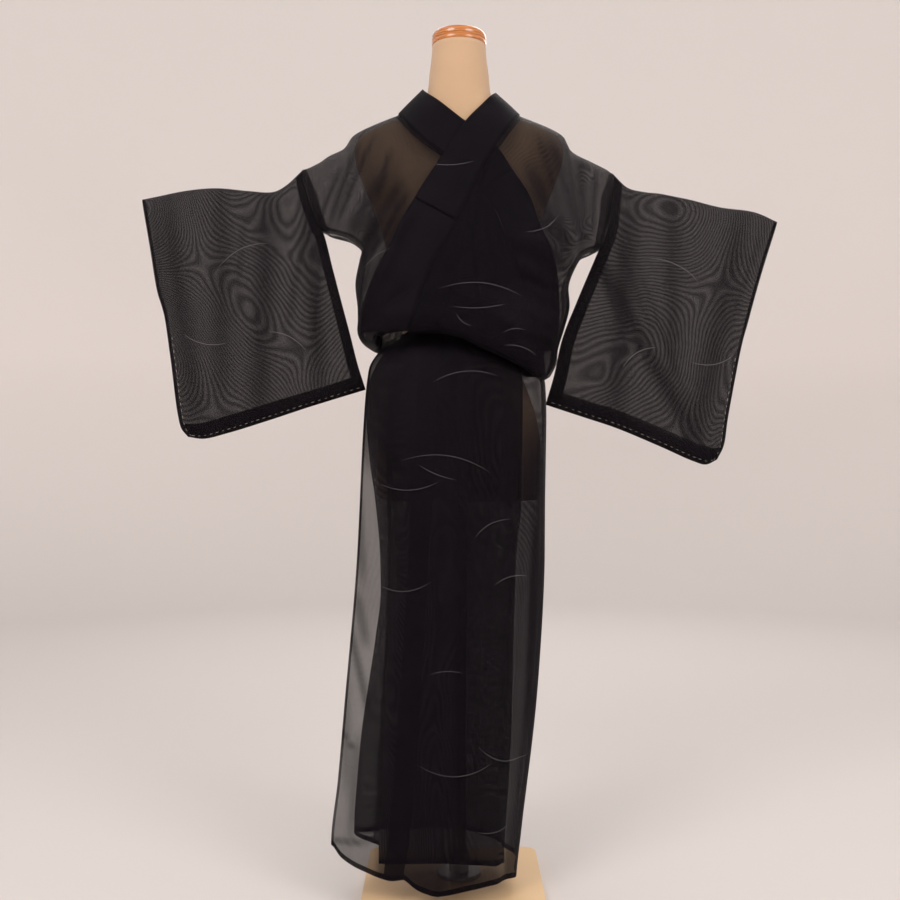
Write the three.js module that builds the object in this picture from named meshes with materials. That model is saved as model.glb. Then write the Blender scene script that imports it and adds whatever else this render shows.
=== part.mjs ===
// A black silk gauze kimono on a limbless dress form.
// Millimetres, +Z up. The front faces -Y, and the wearer's left is +X.
// The origin is on the underside of the base plate, straight below the middle of the neck.
import * as THREE from "three";

// Cloth
const CLOTH = 1.2; // wall of one layer
const COLLAR_CLOTH = 2.2; // wall of the collar, which is folded double
const SEAM = 0.3; // gap between pieces that are sewn together
const LAYER = 7; // how far the overlapping left front lies over the right front

// Dress form
const PLATE_SIDE = 335;
const PLATE_THICK = 15;
const PLATE_CORNER = 24;
const PLATE_CENTRE = { x: -11, y: -30 };
const FLANGE_RADIUS = 42;
const FLANGE_THICK = 7;
const SOCKET_RADIUS = 19;
const SOCKET_HEIGHT = 45;
const POLE_RADIUS = 14;
const TORSO_BOTTOM = 735;
const NECK_TOP = 1605;
const CAP_RADIUS = 52;
const CAP_HEIGHT = 27;

// Kimono, at the waist and the hem
const SKIRT_TOP = 1050; // where the tie under the fold holds the skirt to the form
const SIDE_LINE = 4; // how far behind the form's middle the side seams and the sleeves run
const SLEEVE_DEPTH = 9; // half the depth of a sleeve's hollow
const FOLD_ROUND = 40; // height over which a shoulder or a sleeve rounds over its top fold

// A table whose rows are read at any height: the first column is the key, and the values run
// smoothly from row to row without overshooting.
function table(columns, rows) {
  const names = columns.split(" ");
  const sorted = [...rows].sort((a, b) => a[0] - b[0]);
  const keys = sorted.map((row) => row[0]);
  const slope = (i, c) => {
    if (i === 0 || i === keys.length - 1) return 0;
    const before = (sorted[i][c] - sorted[i - 1][c]) / (keys[i] - keys[i - 1]);
    const after = (sorted[i + 1][c] - sorted[i][c]) / (keys[i + 1] - keys[i]);
    return before * after <= 0 ? 0 : (2 * before * after) / (before + after);
  };
  return (key) => {
    const held = Math.min(Math.max(key, keys[0]), keys[keys.length - 1]);
    const found = keys.findIndex((k, i) => i > 0 && held <= k);
    const i = Math.max(found, 1);
    const span = keys[i] - keys[i - 1];
    const t = (held - keys[i - 1]) / span;
    const value = {};
    names.forEach((name, c) => {
      const rise = sorted[i][c] - sorted[i - 1][c];
      const bend =
        (slope(i - 1, c) * span - rise) * (1 - t) + (rise - slope(i, c) * span) * t;
      value[name] = sorted[i - 1][c] + rise * t + bend * t * (1 - t);
    });
    return value;
  };
}

const lerp = THREE.MathUtils.lerp;
const clamp = THREE.MathUtils.clamp;
const ramp = (x, low, high) => THREE.MathUtils.smoothstep(x, low, high);
const arch = (height) => Math.sqrt(1 - (1 - clamp(height, 0, 1)) ** 2);
const steps = (count) => Array.from({ length: count + 1 }, (_, i) => i / count);

const MATERIALS = {
  gauze: new THREE.MeshStandardMaterial({ color: 0x17141a, roughness: 0.6, metalness: 0 }),
  cover: new THREE.MeshStandardMaterial({ color: 0xe2c6a4, roughness: 0.9, metalness: 0 }),
  wood: new THREE.MeshStandardMaterial({ color: 0xc4742c, roughness: 0.25, metalness: 0 }),
  plate: new THREE.MeshStandardMaterial({ color: 0xdec08c, roughness: 0.5, metalness: 0 }),
  steel: new THREE.MeshStandardMaterial({ color: 0x9a9a9c, roughness: 0.35, metalness: 1 }),
};

const group = new THREE.Group();

function add(name, geometry, material) {
  const mesh = new THREE.Mesh(geometry, MATERIALS[material].clone());
  mesh.name = name;
  group.add(mesh);
  return mesh;
}

// Turns lists of points and triangles into a geometry whose faces point out.
function closedBody(points, triangles) {
  let volume = 0;
  for (const [a, b, c] of triangles)
    volume += points[a].dot(new THREE.Vector3().crossVectors(points[b], points[c]));
  const facing = volume < 0 ? triangles.map(([a, b, c]) => [a, c, b]) : triangles;
  const geometry = new THREE.BufferGeometry().setFromPoints(points);
  geometry.setIndex(facing.flat());
  geometry.computeVertexNormals();
  return geometry;
}

// The surface normal at each point of a grid of points.
function gridNormals(grid) {
  return grid.map((row, i) =>
    row.map((_, j) => {
      const above = grid[Math.min(i + 1, grid.length - 1)][j];
      const below = grid[Math.max(i - 1, 0)][j];
      const along = above.clone().sub(below);
      const across = row[Math.min(j + 1, row.length - 1)].clone().sub(row[Math.max(j - 1, 0)]);
      return across.cross(along).normalize();
    }),
  );
}

// A grid of points moved along its normals.
function moved(grid, distance) {
  const normals = gridNormals(grid);
  return grid.map((row, i) =>
    row.map((p, j) => p.clone().addScaledVector(normals[i][j], distance)),
  );
}

// A closed wall of the given thickness, with the grid as its middle.
function wall(grid, thickness = CLOTH) {
  const rows = grid.length;
  const cols = grid[0].length;
  const outer = moved(grid, thickness / 2);
  const inner = moved(grid, -thickness / 2);
  const points = [...outer.flat(), ...inner.flat()];
  const out = (i, j) => i * cols + j;
  const back = (i, j) => rows * cols + i * cols + j;
  const triangles = [];
  const quad = (a, b, c, d) => triangles.push([a, b, c], [a, c, d]);
  for (let i = 0; i < rows - 1; i++)
    for (let j = 0; j < cols - 1; j++) {
      quad(out(i, j), out(i, j + 1), out(i + 1, j + 1), out(i + 1, j));
      quad(back(i, j), back(i + 1, j), back(i + 1, j + 1), back(i, j + 1));
    }
  for (let i = 0; i < rows - 1; i++) {
    quad(out(i, 0), out(i + 1, 0), back(i + 1, 0), back(i, 0));
    quad(out(i + 1, cols - 1), out(i, cols - 1), back(i, cols - 1), back(i + 1, cols - 1));
  }
  for (let j = 0; j < cols - 1; j++) {
    quad(out(0, j + 1), out(0, j), back(0, j), back(0, j + 1));
    quad(out(rows - 1, j), out(rows - 1, j + 1), back(rows - 1, j + 1), back(rows - 1, j));
  }
  return closedBody(points, triangles);
}

// Dress form: the padded torso runs into the neck in one loft of oval sections.
const FORM = table("z halfWidth halfDepth", [
  [TORSO_BOTTOM, 148, 100],
  [746, 157, 107],
  [820, 158, 110],
  [880, 151, 108],
  [950, 129, 95],
  [1010, 106, 86],
  [1060, 110, 88],
  [1150, 128, 100],
  [1230, 143, 111],
  [1300, 168, 104],
  [1350, 188, 92],
  [1385, 199, 80],
  [1405, 201, 72],
  [1422, 196, 66],
  [1434, 186, 62],
  [1443, 169, 59],
  [1452, 147, 57],
  [1461, 122, 55],
  [1470, 101, 54],
  [1482, 83, 53],
  [1496, 69, 53],
  [1515, 60.5, 54],
  [1550, 57, 54],
  [NECK_TOP, 51.5, 51.5],
]);
const FORM_LEVELS = [
  TORSO_BOTTOM, 746, 780, 820, 880, 950, 1010, 1060, 1150, 1230, 1300, 1350, 1385, 1405,
  1422, 1434, 1443, 1452, 1461, 1470, 1482, 1496, 1515, 1550, NECK_TOP,
];
const FORM_SIDES = 30;
const CAP_SIDES = 48;
const FLANGE_SIDES = 32;
const POLE_SIDES = 24;

function torso() {
  const points = [];
  const triangles = [];
  for (const z of FORM_LEVELS) {
    const { halfWidth, halfDepth } = FORM(z);
    for (let k = 0; k < FORM_SIDES; k++) {
      const turn = (k / FORM_SIDES) * 2 * Math.PI;
      points.push(
        new THREE.Vector3(halfWidth * Math.cos(turn), halfDepth * Math.sin(turn), z),
      );
    }
  }
  const at = (i, k) => i * FORM_SIDES + (k % FORM_SIDES);
  for (let i = 0; i < FORM_LEVELS.length - 1; i++)
    for (let k = 0; k < FORM_SIDES; k++)
      triangles.push(
        [at(i, k), at(i, k + 1), at(i + 1, k + 1)],
        [at(i, k), at(i + 1, k + 1), at(i + 1, k)],
      );
  const last = FORM_LEVELS.length - 1;
  for (let k = 1; k < FORM_SIDES - 1; k++)
    triangles.push(
      [at(0, 0), at(0, k + 1), at(0, k)],
      [at(last, 0), at(last, k), at(last, k + 1)],
    );
  add("form_torso", closedBody(points, triangles), "cover");
}

function lathe(profile, sides) {
  const geometry = new THREE.LatheGeometry(
    profile.map(([r, z]) => new THREE.Vector2(r, z)),
    sides,
  );
  return geometry.rotateX(Math.PI / 2);
}

function neckCap() {
  const low = NECK_TOP + SEAM;
  const cap = lathe(
    [
      [0, 0],
      [CAP_RADIUS - 1, 0],
      [CAP_RADIUS, 2],
      [CAP_RADIUS, CAP_HEIGHT - 9],
      [CAP_RADIUS - 2, CAP_HEIGHT - 5],
      [CAP_RADIUS - 8, CAP_HEIGHT - 2],
      [CAP_RADIUS - 24, CAP_HEIGHT - 0.5],
      [0, CAP_HEIGHT],
    ],
    CAP_SIDES,
  );
  add("form_cap", cap, "wood").position.z = low;
}

function poleAndPlate() {
  const half = PLATE_SIDE / 2 - PLATE_CORNER;
  const outline = new THREE.Shape();
  outline.absarc(half, half, PLATE_CORNER, 0, Math.PI / 2);
  outline.absarc(-half, half, PLATE_CORNER, Math.PI / 2, Math.PI);
  outline.absarc(-half, -half, PLATE_CORNER, Math.PI, 1.5 * Math.PI);
  outline.absarc(half, -half, PLATE_CORNER, 1.5 * Math.PI, 2 * Math.PI);
  const plate = new THREE.ExtrudeGeometry(outline, {
    depth: PLATE_THICK,
    bevelEnabled: false,
    curveSegments: 6,
  });
  add("form_base", plate, "plate").position.set(PLATE_CENTRE.x, PLATE_CENTRE.y, 0);
  const flange = lathe(
    [
      [0, 0],
      [FLANGE_RADIUS, 0],
      [FLANGE_RADIUS, FLANGE_THICK - 1.5],
      [FLANGE_RADIUS - 1.5, FLANGE_THICK],
      [SOCKET_RADIUS, FLANGE_THICK],
      [SOCKET_RADIUS, SOCKET_HEIGHT],
      [0, SOCKET_HEIGHT],
    ],
    FLANGE_SIDES,
  );
  const flangeLow = PLATE_THICK + SEAM;
  add("form_flange", flange, "steel").position.z = flangeLow;
  const poleLow = flangeLow + SOCKET_HEIGHT + SEAM;
  const length = TORSO_BOTTOM - SEAM - poleLow;
  const pole = new THREE.CylinderGeometry(POLE_RADIUS, POLE_RADIUS, length, POLE_SIDES);
  pole.rotateX(Math.PI / 2);
  add("form_pole", pole, "steel").position.z = poleLow + length / 2;
}

// Upper stretch. Half widths of the cloth's outline on the wearer's right and left, from the
// take-up fold at the hips to the sleeve's top, and how far it stands out to the front and back.
const OUTLINE_RIGHT = table("z halfWidth", [
  [1008, 158],
  [1020, 166],
  [1036, 187],
  [1052, 194],
  [1092, 194],
  [1140, 199],
  [1190, 191],
  [1211, 187],
  [1231, 207],
  [1243, 238],
  [1249, 262],
  [1263, 270],
  [1311, 289],
  [1356, 300],
  [1370, 302],
]);
const OUTLINE_LEFT = table("z halfWidth", [
  [950, 170],
  [976, 184],
  [1019, 189],
  [1049, 198],
  [1110, 212],
  [1151, 210],
  [1172, 220],
  [1196, 233],
  [1204, 240],
  [1210, 258],
  [1216, 270],
  [1253, 285],
  [1301, 293],
  [1356, 298],
  [1362, 298],
]);
const CHEST = table("z front back roundness", [
  [950, 140, 122, 2.4],
  [1000, 143, 124, 2.4],
  [1040, 146, 124, 2.4],
  [1100, 146, 122, 2.4],
  [1200, 141, 119, 2.4],
  [1250, 133, 115, 2.0],
  [1300, 122, 111, 1.75],
  [1350, 110, 107, 1.75],
  [1400, 96, 103, 1.8],
  [1440, 84, 99, 2.0],
  [1475, 74, 92, 2.0],
]);
const SHOULDER_RIGHT = table("x ridge round", [
  [0, 1516, 112],
  [117, 1473, 105],
  [142, 1463, 100],
  [186, 1443, 88],
  [202, 1433, 80],
  [219, 1409, 70],
  [249, 1394, 55],
  [269, 1381, 45],
  [302, 1370, FOLD_ROUND],
]);
const SHOULDER_LEFT = table("x ridge round", [
  [0, 1516, 112],
  [117, 1471, 105],
  [142, 1461, 100],
  [186, 1441, 88],
  [200, 1430, 80],
  [212, 1405, 70],
  [253, 1383, 50],
  [282, 1370, 42],
  [298, 1362, FOLD_ROUND],
]);
// Lower edge of the take-up fold, in front and behind.
const TAKE_UP_FRONT = table("x z", [
  [-178, 1022],
  [-158, 1021],
  [-138, 1039],
  [-75, 1041],
  [-48, 1041],
  [-7, 1034],
  [38, 1016],
  [84, 997],
  [124, 978],
  [158, 961],
  [187, 976],
]);
const TAKE_UP_BACK = table("x z", [
  [-178, 1022],
  [-60, 1000],
  [60, 984],
  [187, 976],
]);
const TAKE_UP_ROUND = 34; // height over which the cloth turns in above that edge
const TAKE_UP_TUCK = 9; // how far in it is at that edge

// Long soft folds of the upper stretch, and of the sleeves further on: a straight run from (x1, z1) to
// (x2, z2) seen from the front, how wide it is, and how far it stands out (or, below 0, in).
const BODY_FOLDS = [
  { x1: -112, z1: 1310, x2: -185, z2: 1192, wide: 20, out: -17 },
  { x1: -140, z1: 1330, x2: -200, z2: 1235, wide: 20, out: 8 },
  { x1: -95, z1: 1255, x2: -170, z2: 1130, wide: 18, out: 6 },
  { x1: 215, z1: 1225, x2: 172, z2: 1400, wide: 20, out: 10 },
  { x1: 232, z1: 1222, x2: 225, z2: 1380, wide: 14, out: -8 },
  { x1: 196, z1: 1200, x2: 128, z2: 1345, wide: 20, out: -8 },
  { x1: 205, z1: 1160, x2: 92, z2: 1225, wide: 24, out: 7 },
  { x1: 190, z1: 1085, x2: 60, z2: 1120, wide: 26, out: -6 },
  { x1: 185, z1: 1035, x2: 70, z2: 1070, wide: 22, out: 6 },
  { x1: -180, z1: 1085, x2: -60, z2: 1065, wide: 20, out: 4 },
];
const BACK_FOLDS = [
  { x1: -150, z1: 1350, x2: -196, z2: 1210, wide: 24, out: -9 },
  { x1: 150, z1: 1345, x2: 205, z2: 1200, wide: 24, out: -9 },
  { x1: -60, z1: 1080, x2: -175, z2: 1150, wide: 28, out: 7 },
  { x1: 65, z1: 1060, x2: 180, z2: 1120, wide: 26, out: 7 },
  { x1: -20, z1: 1040, x2: 120, z2: 1035, wide: 22, out: -5 },
];

function foldsAt(folds, x, z) {
  let out = 0;
  for (const f of folds) {
    const run = new THREE.Vector2(f.x2 - f.x1, f.z2 - f.z1);
    const from = new THREE.Vector2(x - f.x1, z - f.z1);
    const along = from.dot(run) / run.lengthSq();
    const aside = Math.abs(from.cross(run)) / run.length();
    const ends = ramp(along, -0.25, 0.2) * (1 - ramp(along, 0.8, 1.25));
    out += f.out * ends * Math.exp(-((aside / f.wide) ** 2));
  }
  return out;
}

// The y of the upper stretch at (x, z): a smooth oval that rounds over the shoulder, narrows to
// the sleeve seam and turns in at the take-up fold. The face is -1 in front and 1 behind.
function chestDepth(face, x, z, outward = 0) {
  const left = x > 0;
  const halfWidth = (left ? OUTLINE_LEFT : OUTLINE_RIGHT)(z).halfWidth + outward;
  const { front, back, roundness } = CHEST(z);
  const shoulder = (left ? SHOULDER_LEFT : SHOULDER_RIGHT)(Math.abs(x));
  const edgeZ = (face < 0 ? TAKE_UP_FRONT : TAKE_UP_BACK)(x).z;
  const tuck = TAKE_UP_TUCK * (1 - arch((z - edgeZ) / TAKE_UP_ROUND));
  const across = Math.min(Math.abs(x) / halfWidth, 1);
  const bulge = (1 - across ** roundness) ** (1 / roundness);
  const round = arch((shoulder.ridge - z) / shoulder.round);
  const edge = seamHalf(left, z);
  const reach = (face < 0 ? front + SIDE_LINE : back - SIDE_LINE) + outward - tuck - edge;
  const folds = foldsAt(face < 0 ? BODY_FOLDS : BACK_FOLDS, x, z);
  const settled = folds * ramp(1 - across, 0, 0.12) * ramp(shoulder.ridge - z, 5, 50);
  return SIDE_LINE + face * (edge * round + (reach * bulge + settled) * round);
}

// Half the gap between front and back at the cloth's outer edge: nearly closed along the side
// seam, open under the arm, and the sleeve's own depth along the sleeve seam.
function seamHalf(left, z) {
  const low = left ? 1150 : 1185;
  const high = left ? 1205 : 1235;
  const closed = SEAM / 2 + 0.05;
  return lerp(closed, SLEEVE_DEPTH + CLOTH / 2 + SEAM / 2, ramp(z, low, high));
}

// Where the pieces of the upper fronts meet, as x against height.
const OVER_SEAM = table("z x", [
  [1030, -37],
  [1064, -36],
  [1123, -21],
  [1188, -1],
  [1276, 25],
  [1342, 44],
]);
const UNDER_SEAM = table("z x", [
  [1000, 48],
  [1100, 38],
  [1200, 28],
  [1322, 17],
]);
// The collar's outer edge, which is sewn to the fronts, and its inner edge. Over the
// shoulder the inner edge stands up beside the neck, so its depth is given there too.
const OVER_COLLAR = [
  { ox: 114, oz: 1465, ix: 67, iz: 1509, iy: -18 },
  { ox: 106, oz: 1451, ix: 59, iz: 1498, iy: -38 },
  { ox: 92, oz: 1427, ix: 41, iz: 1474, iy: -60 },
  { ox: 67, oz: 1387, ix: 12, iz: 1437 },
  { ox: 46, oz: 1350, ix: -16, iz: 1392 },
  { ox: 24, oz: 1306, ix: -42, iz: 1350 },
  { ox: 9, oz: 1272, ix: -63, iz: 1317 },
  { ox: -8, oz: 1238, ix: -84, iz: 1281 },
  { ox: -29, oz: 1202, ix: -105, iz: 1244 },
  { ox: -46, oz: 1171, ix: -124, iz: 1204 },
  { ox: -62, oz: 1136, ix: -146, iz: 1166 },
  { ox: -77, oz: 1092, ix: -168, iz: 1121 },
  { ox: -87, oz: 1062, ix: -183, iz: 1080 },
  { ox: -94, oz: 1043, ix: -187, iz: 1046 },
];
const UNDER_COLLAR = [
  { ox: -114, oz: 1466, ix: -66, iz: 1514, iy: -18 },
  { ox: -106, oz: 1452, ix: -58, iz: 1502, iy: -38 },
  { ox: -92, oz: 1430, ix: -38, iz: 1482, iy: -60 },
  { ox: -64, oz: 1398, ix: 5, iz: 1443 },
  { ox: -30, oz: 1369, ix: 40, iz: 1414 },
  { ox: 8, oz: 1338, ix: 69, iz: 1386 },
  { ox: 38, oz: 1302, ix: 96, iz: 1344 },
  { ox: 62, oz: 1268, ix: 124, iz: 1304 },
  { ox: 84, oz: 1212, ix: 148, iz: 1238 },
  { ox: 104, oz: 1160, ix: 172, iz: 1186 },
  { ox: 120, oz: 1110, ix: 184, iz: 1130 },
  { ox: 134, oz: 1060, ix: 187, iz: 1070 },
  { ox: 140, oz: 1010, ix: 180, iz: 1018 },
];
const NECK_SIDE = 117;
const NECK_SIDE_LEFT = { ox: NECK_SIDE, oz: 1470, ix: 69, iz: 1515, iy: 0 };
const NECK_SIDE_RIGHT = { ox: -NECK_SIDE, oz: 1472, ix: -68, iz: 1522, iy: 0 };
// Round the back of the neck, from the wearer's left side to the centre back.
const NECK_BACK = [
  { ox: 108, oz: 1465.5, ix: 68, iz: 1510, iy: 22 },
  { ox: 88, oz: 1456, ix: 63, iz: 1504, iy: 44 },
  { ox: 55, oz: 1442, ix: 48, iz: 1498, iy: 66 },
  { ox: 28, oz: 1435, ix: 26, iz: 1494, iy: 80 },
  { ox: 0, oz: 1432, ix: 0, iz: 1492, iy: 84 },
];

const overFront = (z) => LAYER * (1 - ramp(z, 1440, 1468));
const sideShare = (x) => ramp(x, 70, 150);
// The over front lies a layer out, except towards its own side, where the under front
// lies in instead.
const overLayer = (x, z) => overFront(z) * (1 - sideShare(x));
const underLayer = (x, z) => -overFront(z) * sideShare(x);

// Inner edges of the two upper body panels: along the collar down to the point of the
// overlap panel, and on along its seam.
const OVER_POINT = 1342;
const UNDER_POINT = 1322;
const collarEdge = (rows) => table("z x", rows.map((r) => [r.oz, r.ox]));
const OVER_COLLAR_EDGE = collarEdge([NECK_SIDE_LEFT, ...OVER_COLLAR]);
const UNDER_COLLAR_EDGE = collarEdge([NECK_SIDE_RIGHT, ...UNDER_COLLAR]);
const LEFT_PANEL_EDGE = (z) => (z > OVER_POINT ? OVER_COLLAR_EDGE : OVER_SEAM)(z);
const RIGHT_PANEL_EDGE = (z) => (z > UNDER_POINT ? UNDER_COLLAR_EDGE : UNDER_SEAM)(z);

// Rows of an upper body panel. Below the shoulder a row has its height at the inner and the
// outer edge. Over the shoulder it has an angle, 90 on the chest to 0 on the ridge.
const LEVELS = {
  right: [
    { inner: 1105, outer: 1100 },
    { inner: 1150, outer: 1148 },
    { inner: 1190, outer: 1190 },
    { inner: 1215, outer: 1211 },
    { inner: 1240, outer: 1231 },
    { inner: 1262, outer: 1243 },
    { inner: 1284, outer: 1249 },
    { inner: 1312, outer: 1282 },
  ],
  left: [
    { inner: 1105, outer: 1100 },
    { inner: 1150, outer: 1142 },
    { inner: 1190, outer: 1172 },
    { inner: 1215, outer: 1196 },
    { inner: 1240, outer: 1204 },
    { inner: 1262, outer: 1210 },
    { inner: 1284, outer: 1217 },
    { inner: 1312, outer: 1262 },
  ],
};
const OVER_SHOULDER = [
  { angle: 90, front: 1362, back: [0, 1432] },
  { angle: 66, front: 1404, back: [55, 1442] },
  { angle: 44, front: 1440, back: [88, 1456] },
  { angle: 22, front: 1461, back: [108, 1465.5] },
];
const PANEL_COLUMNS = 13;
// Rows just above the take-up fold, as shares of the way up to the first level.
const TAKE_UP_SHARES = [0, 0.12, 0.34, 0.66];
const SHOULDER_ROUNDNESS = 1.8;
const PAST_SHOULDER = 400; // a reading here gives the last row of a shoulder's table
const UNDER_RAISED = 8; // how much higher the right front ends, inside the left one's fold
const SETTLING = 4; // passes after which a point's x and z agree with each other

// The x of a point of an upper body panel, at a share of the way from its inner end.
function panelX(left, roundness, xIn, xOut, u) {
  const share = clamp(Math.abs(xIn / xOut), 0, 1);
  const start = Math.sign(xIn) * Math.asin(share ** (roundness / 2));
  const end = ((left ? 1 : -1) * Math.PI) / 2;
  const t = lerp(start, end, u);
  return Math.sign(t) * xOut * Math.abs(Math.sin(t)) ** (2 / roundness);
}

function panelRow(left, face, level) {
  const place = level.angle === undefined ? belowShoulder : overShoulder;
  return steps(PANEL_COLUMNS).map((u) => {
    const { x, z } = place(left, face, level, u);
    const layer = left ? overLayer : underLayer;
    const outward = face < 0 ? layer(x, z) : 0;
    return new THREE.Vector3(x, chestDepth(face, x, z, outward), z);
  });
}

// A point of a row that has a share of the way up from the take-up fold, or two heights.
function belowShoulder(left, face, level, u) {
  const side = left ? 1 : -1;
  const outline = left ? OUTLINE_LEFT : OUTLINE_RIGHT;
  const edge = left ? LEFT_PANEL_EDGE : RIGHT_PANEL_EDGE;
  const takeUp = face < 0 ? TAKE_UP_FRONT : TAKE_UP_BACK;
  const raised = face < 0 && !left ? UNDER_RAISED : 0;
  const inFold = level.share !== undefined;
  const heightAt = (x) =>
    inFold
      ? lerp(takeUp(x).z + raised * (1 - u), level.inner, level.share)
      : lerp(level.inner, level.outer, u * u);
  let x = (side * outline(level.inner).halfWidth) / 2;
  let z;
  for (let pass = 0; pass < SETTLING; pass++) {
    z = heightAt(x);
    const inner = face < 0 ? edge(z).x + side * SEAM : side * SEAM;
    const wide = outline(z).halfWidth - (inFold ? tuckIn(x, z, face) : 0);
    x = panelX(left, CHEST(z).roundness, inner, wide, u);
  }
  return { x, z };
}

// A point of a row at an angle over the shoulder.
function overShoulder(left, face, level, u) {
  const side = left ? 1 : -1;
  const outline = left ? OUTLINE_LEFT : OUTLINE_RIGHT;
  const shoulder = left ? SHOULDER_LEFT : SHOULDER_RIGHT;
  const edge = left ? LEFT_PANEL_EDGE : RIGHT_PANEL_EDGE;
  const drop = 1 - Math.cos(level.angle * THREE.MathUtils.DEG2RAD);
  const outerZ = shoulder(PAST_SHOULDER).ridge - FOLD_ROUND * drop;
  const start =
    face < 0 ? [edge(level.front).x, level.front] : [side * level.back[0], level.back[1]];
  const over = (x) => shoulder(Math.abs(x)).ridge - shoulder(Math.abs(x)).round * drop;
  const inner = start[0] + side * SEAM;
  const x = panelX(left, SHOULDER_ROUNDNESS, inner, outline(outerZ).halfWidth, u);
  const z = over(x) + (start[1] - over(start[0])) * (1 - u) ** 3;
  return { x, z };
}

// How far the outline turns in just above the take-up fold, on the wearer's left.
function tuckIn(x, z, face) {
  const edgeZ = (face < 0 ? TAKE_UP_FRONT : TAKE_UP_BACK)(x).z;
  return x > 0 ? TAKE_UP_TUCK * (1 - arch((z - edgeZ) / TAKE_UP_ROUND)) : 0;
}

// The row along the top of the shoulder.
function ridgeRow(left) {
  const side = left ? 1 : -1;
  const shoulder = left ? SHOULDER_LEFT : SHOULDER_RIGHT;
  const outer = shoulder(PAST_SHOULDER).x;
  return steps(PANEL_COLUMNS).map((u) => {
    const x = panelX(left, SHOULDER_ROUNDNESS, side * (NECK_SIDE + SEAM), outer, u);
    return new THREE.Vector3(x, SIDE_LINE, shoulder(Math.abs(x)).ridge);
  });
}

function upperPanel(name, left) {
  const levels = LEVELS[left ? "left" : "right"];
  const low = TAKE_UP_SHARES.map((share) => ({ inner: levels[0].inner, share }));
  const half = (face) => [...low, ...levels, ...OVER_SHOULDER].map((l) => panelRow(left, face, l));
  const front = half(-1);
  const back = half(1).reverse();
  add(name, wall([...front, ridgeRow(left), ...back]), "gauze");
}

// The slanted overlap panel of an upper front, from its point at the collar to the fold.
const POINT_DROP = 12; // how far below the body panel's corner the point starts
const GORE_LEVELS = [0, 0.08, 0.2, 0.36, 0.52, 0.68, 0.84, 0.96, 1];
const GORE_COLUMNS = 3;

function upperGore(name, outerEdge, seam, pointZ, layer, raised) {
  const grid = GORE_LEVELS.map((share) =>
    steps(GORE_COLUMNS).map((u) => {
      let x = 0;
      let z = 0;
      for (let pass = 0; pass < SETTLING; pass++) {
        z = lerp(pointZ - POINT_DROP, TAKE_UP_FRONT(x).z + raised, share);
        const inset = 2 * SEAM * Math.sign(seam(z).x - outerEdge(z).x);
        x = lerp(outerEdge(z).x + inset, seam(z).x - inset, u);
      }
      return new THREE.Vector3(x, chestDepth(-1, x, z, layer(x, z)), z);
    }),
  );
  add(name, wall(grid), "gauze");
}

// The collar runs from the fold on one front, round the neck, to the fold on the other.
const COLLAR_COLUMNS = 4;
const COLLAR_SWELL = 4; // how far it stands out between its edges beside the neck
const OVER_COLLAR_ROWS = 8; // rows of the collar's table that the over-collar covers in front
// Shares of the collar's width between which its wall and the over-collar's wall lie.
const COLLAR_SPAN = [0.032, 1];
const OVER_COLLAR_SPAN = [0.06, 0.985];

function collarRow(row, layer, face, [first, last]) {
  const outerY = chestDepth(face, row.ox, row.oz, layer(row.ox, row.oz));
  return steps(COLLAR_COLUMNS).map((share) => {
    const u = lerp(first, last, share);
    const x = lerp(row.ox, row.ix, u);
    const z = lerp(row.oz, row.iz, u);
    const y =
      row.iy === undefined
        ? chestDepth(face, x, z, layer(x, z))
        : lerp(outerY, row.iy, u) + face * COLLAR_SWELL * Math.sin(Math.PI * u);
    return new THREE.Vector3(x, y, z);
  });
}

function collarGrid(edges) {
  const mirror = (r) => ({ ...r, ox: -r.ox, ix: -r.ix });
  const over = [NECK_SIDE_LEFT, ...OVER_COLLAR].map((r, i) =>
    collarRow(r, overLayer, i === 0 ? 0 : -1, edges),
  );
  const under = [NECK_SIDE_RIGHT, ...UNDER_COLLAR].map((r, i) =>
    collarRow(r, underLayer, i === 0 ? 0 : -1, edges),
  );
  const none = () => 0;
  const leftBack = NECK_BACK.map((r) => collarRow(r, none, 1, edges));
  const rightBack = NECK_BACK.slice(0, -1)
    .reverse()
    .map((r) => collarRow(mirror(r), none, 1, edges));
  return [...over.reverse(), ...leftBack, ...rightBack, ...under];
}

function collars() {
  add("collar", wall(collarGrid(COLLAR_SPAN), COLLAR_CLOTH), "gauze");
  const grid = collarGrid(OVER_COLLAR_SPAN);
  const away = COLLAR_CLOTH / 2 + 2 * SEAM + CLOTH / 2;
  const first = OVER_COLLAR.length - OVER_COLLAR_ROWS;
  const last = OVER_COLLAR.length + 2 * NECK_BACK.length + OVER_COLLAR_ROWS;
  add("over_collar", wall(moved(grid, away).slice(first, last)), "gauze");
}

// Lower stretch, wrapped round the hips: half widths to the wearer's right and left, depths
// to the front and back, and how far forward the middle of the wrap lies.
const WRAP = table("z right left front back forward", [
  [20, 200, 106, 116, 104, 27],
  [130, 198, 117, 118, 106, 25],
  [205, 193, 127, 121, 108, 22],
  [293, 185, 139, 123, 111, 19],
  [370, 174, 148, 125, 113, 16],
  [478, 158, 157, 126, 116, 13],
  [561, 149, 162, 127, 118, 11],
  [618, 150, 164, 127, 119, 10],
  [734, 160, 165, 127, 121, 8],
  [811, 171, 166, 127, 122, 6],
  [895, 177, 167, 126, 120, 4],
  [955, 173, 165, 122, 116, 2],
  [990, 160, 150, 115, 110, 0],
  [1018, 141, 130, 104, 103, 0],
  [SKIRT_TOP, 110.4, 110.4, 88.6, 88.6, 0],
]);
const WRAP_ROUNDNESS = 2.2;
const HEM_GUESS = 90; // a hem height to settle each row's points from
const OVER_ENDS = [52, 88]; // turns between which the left front comes down to the wrap
const FOLDS_START = 980; // height below which the lower stretch's folds grow
const FOLDS_FULL = 480;
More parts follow.
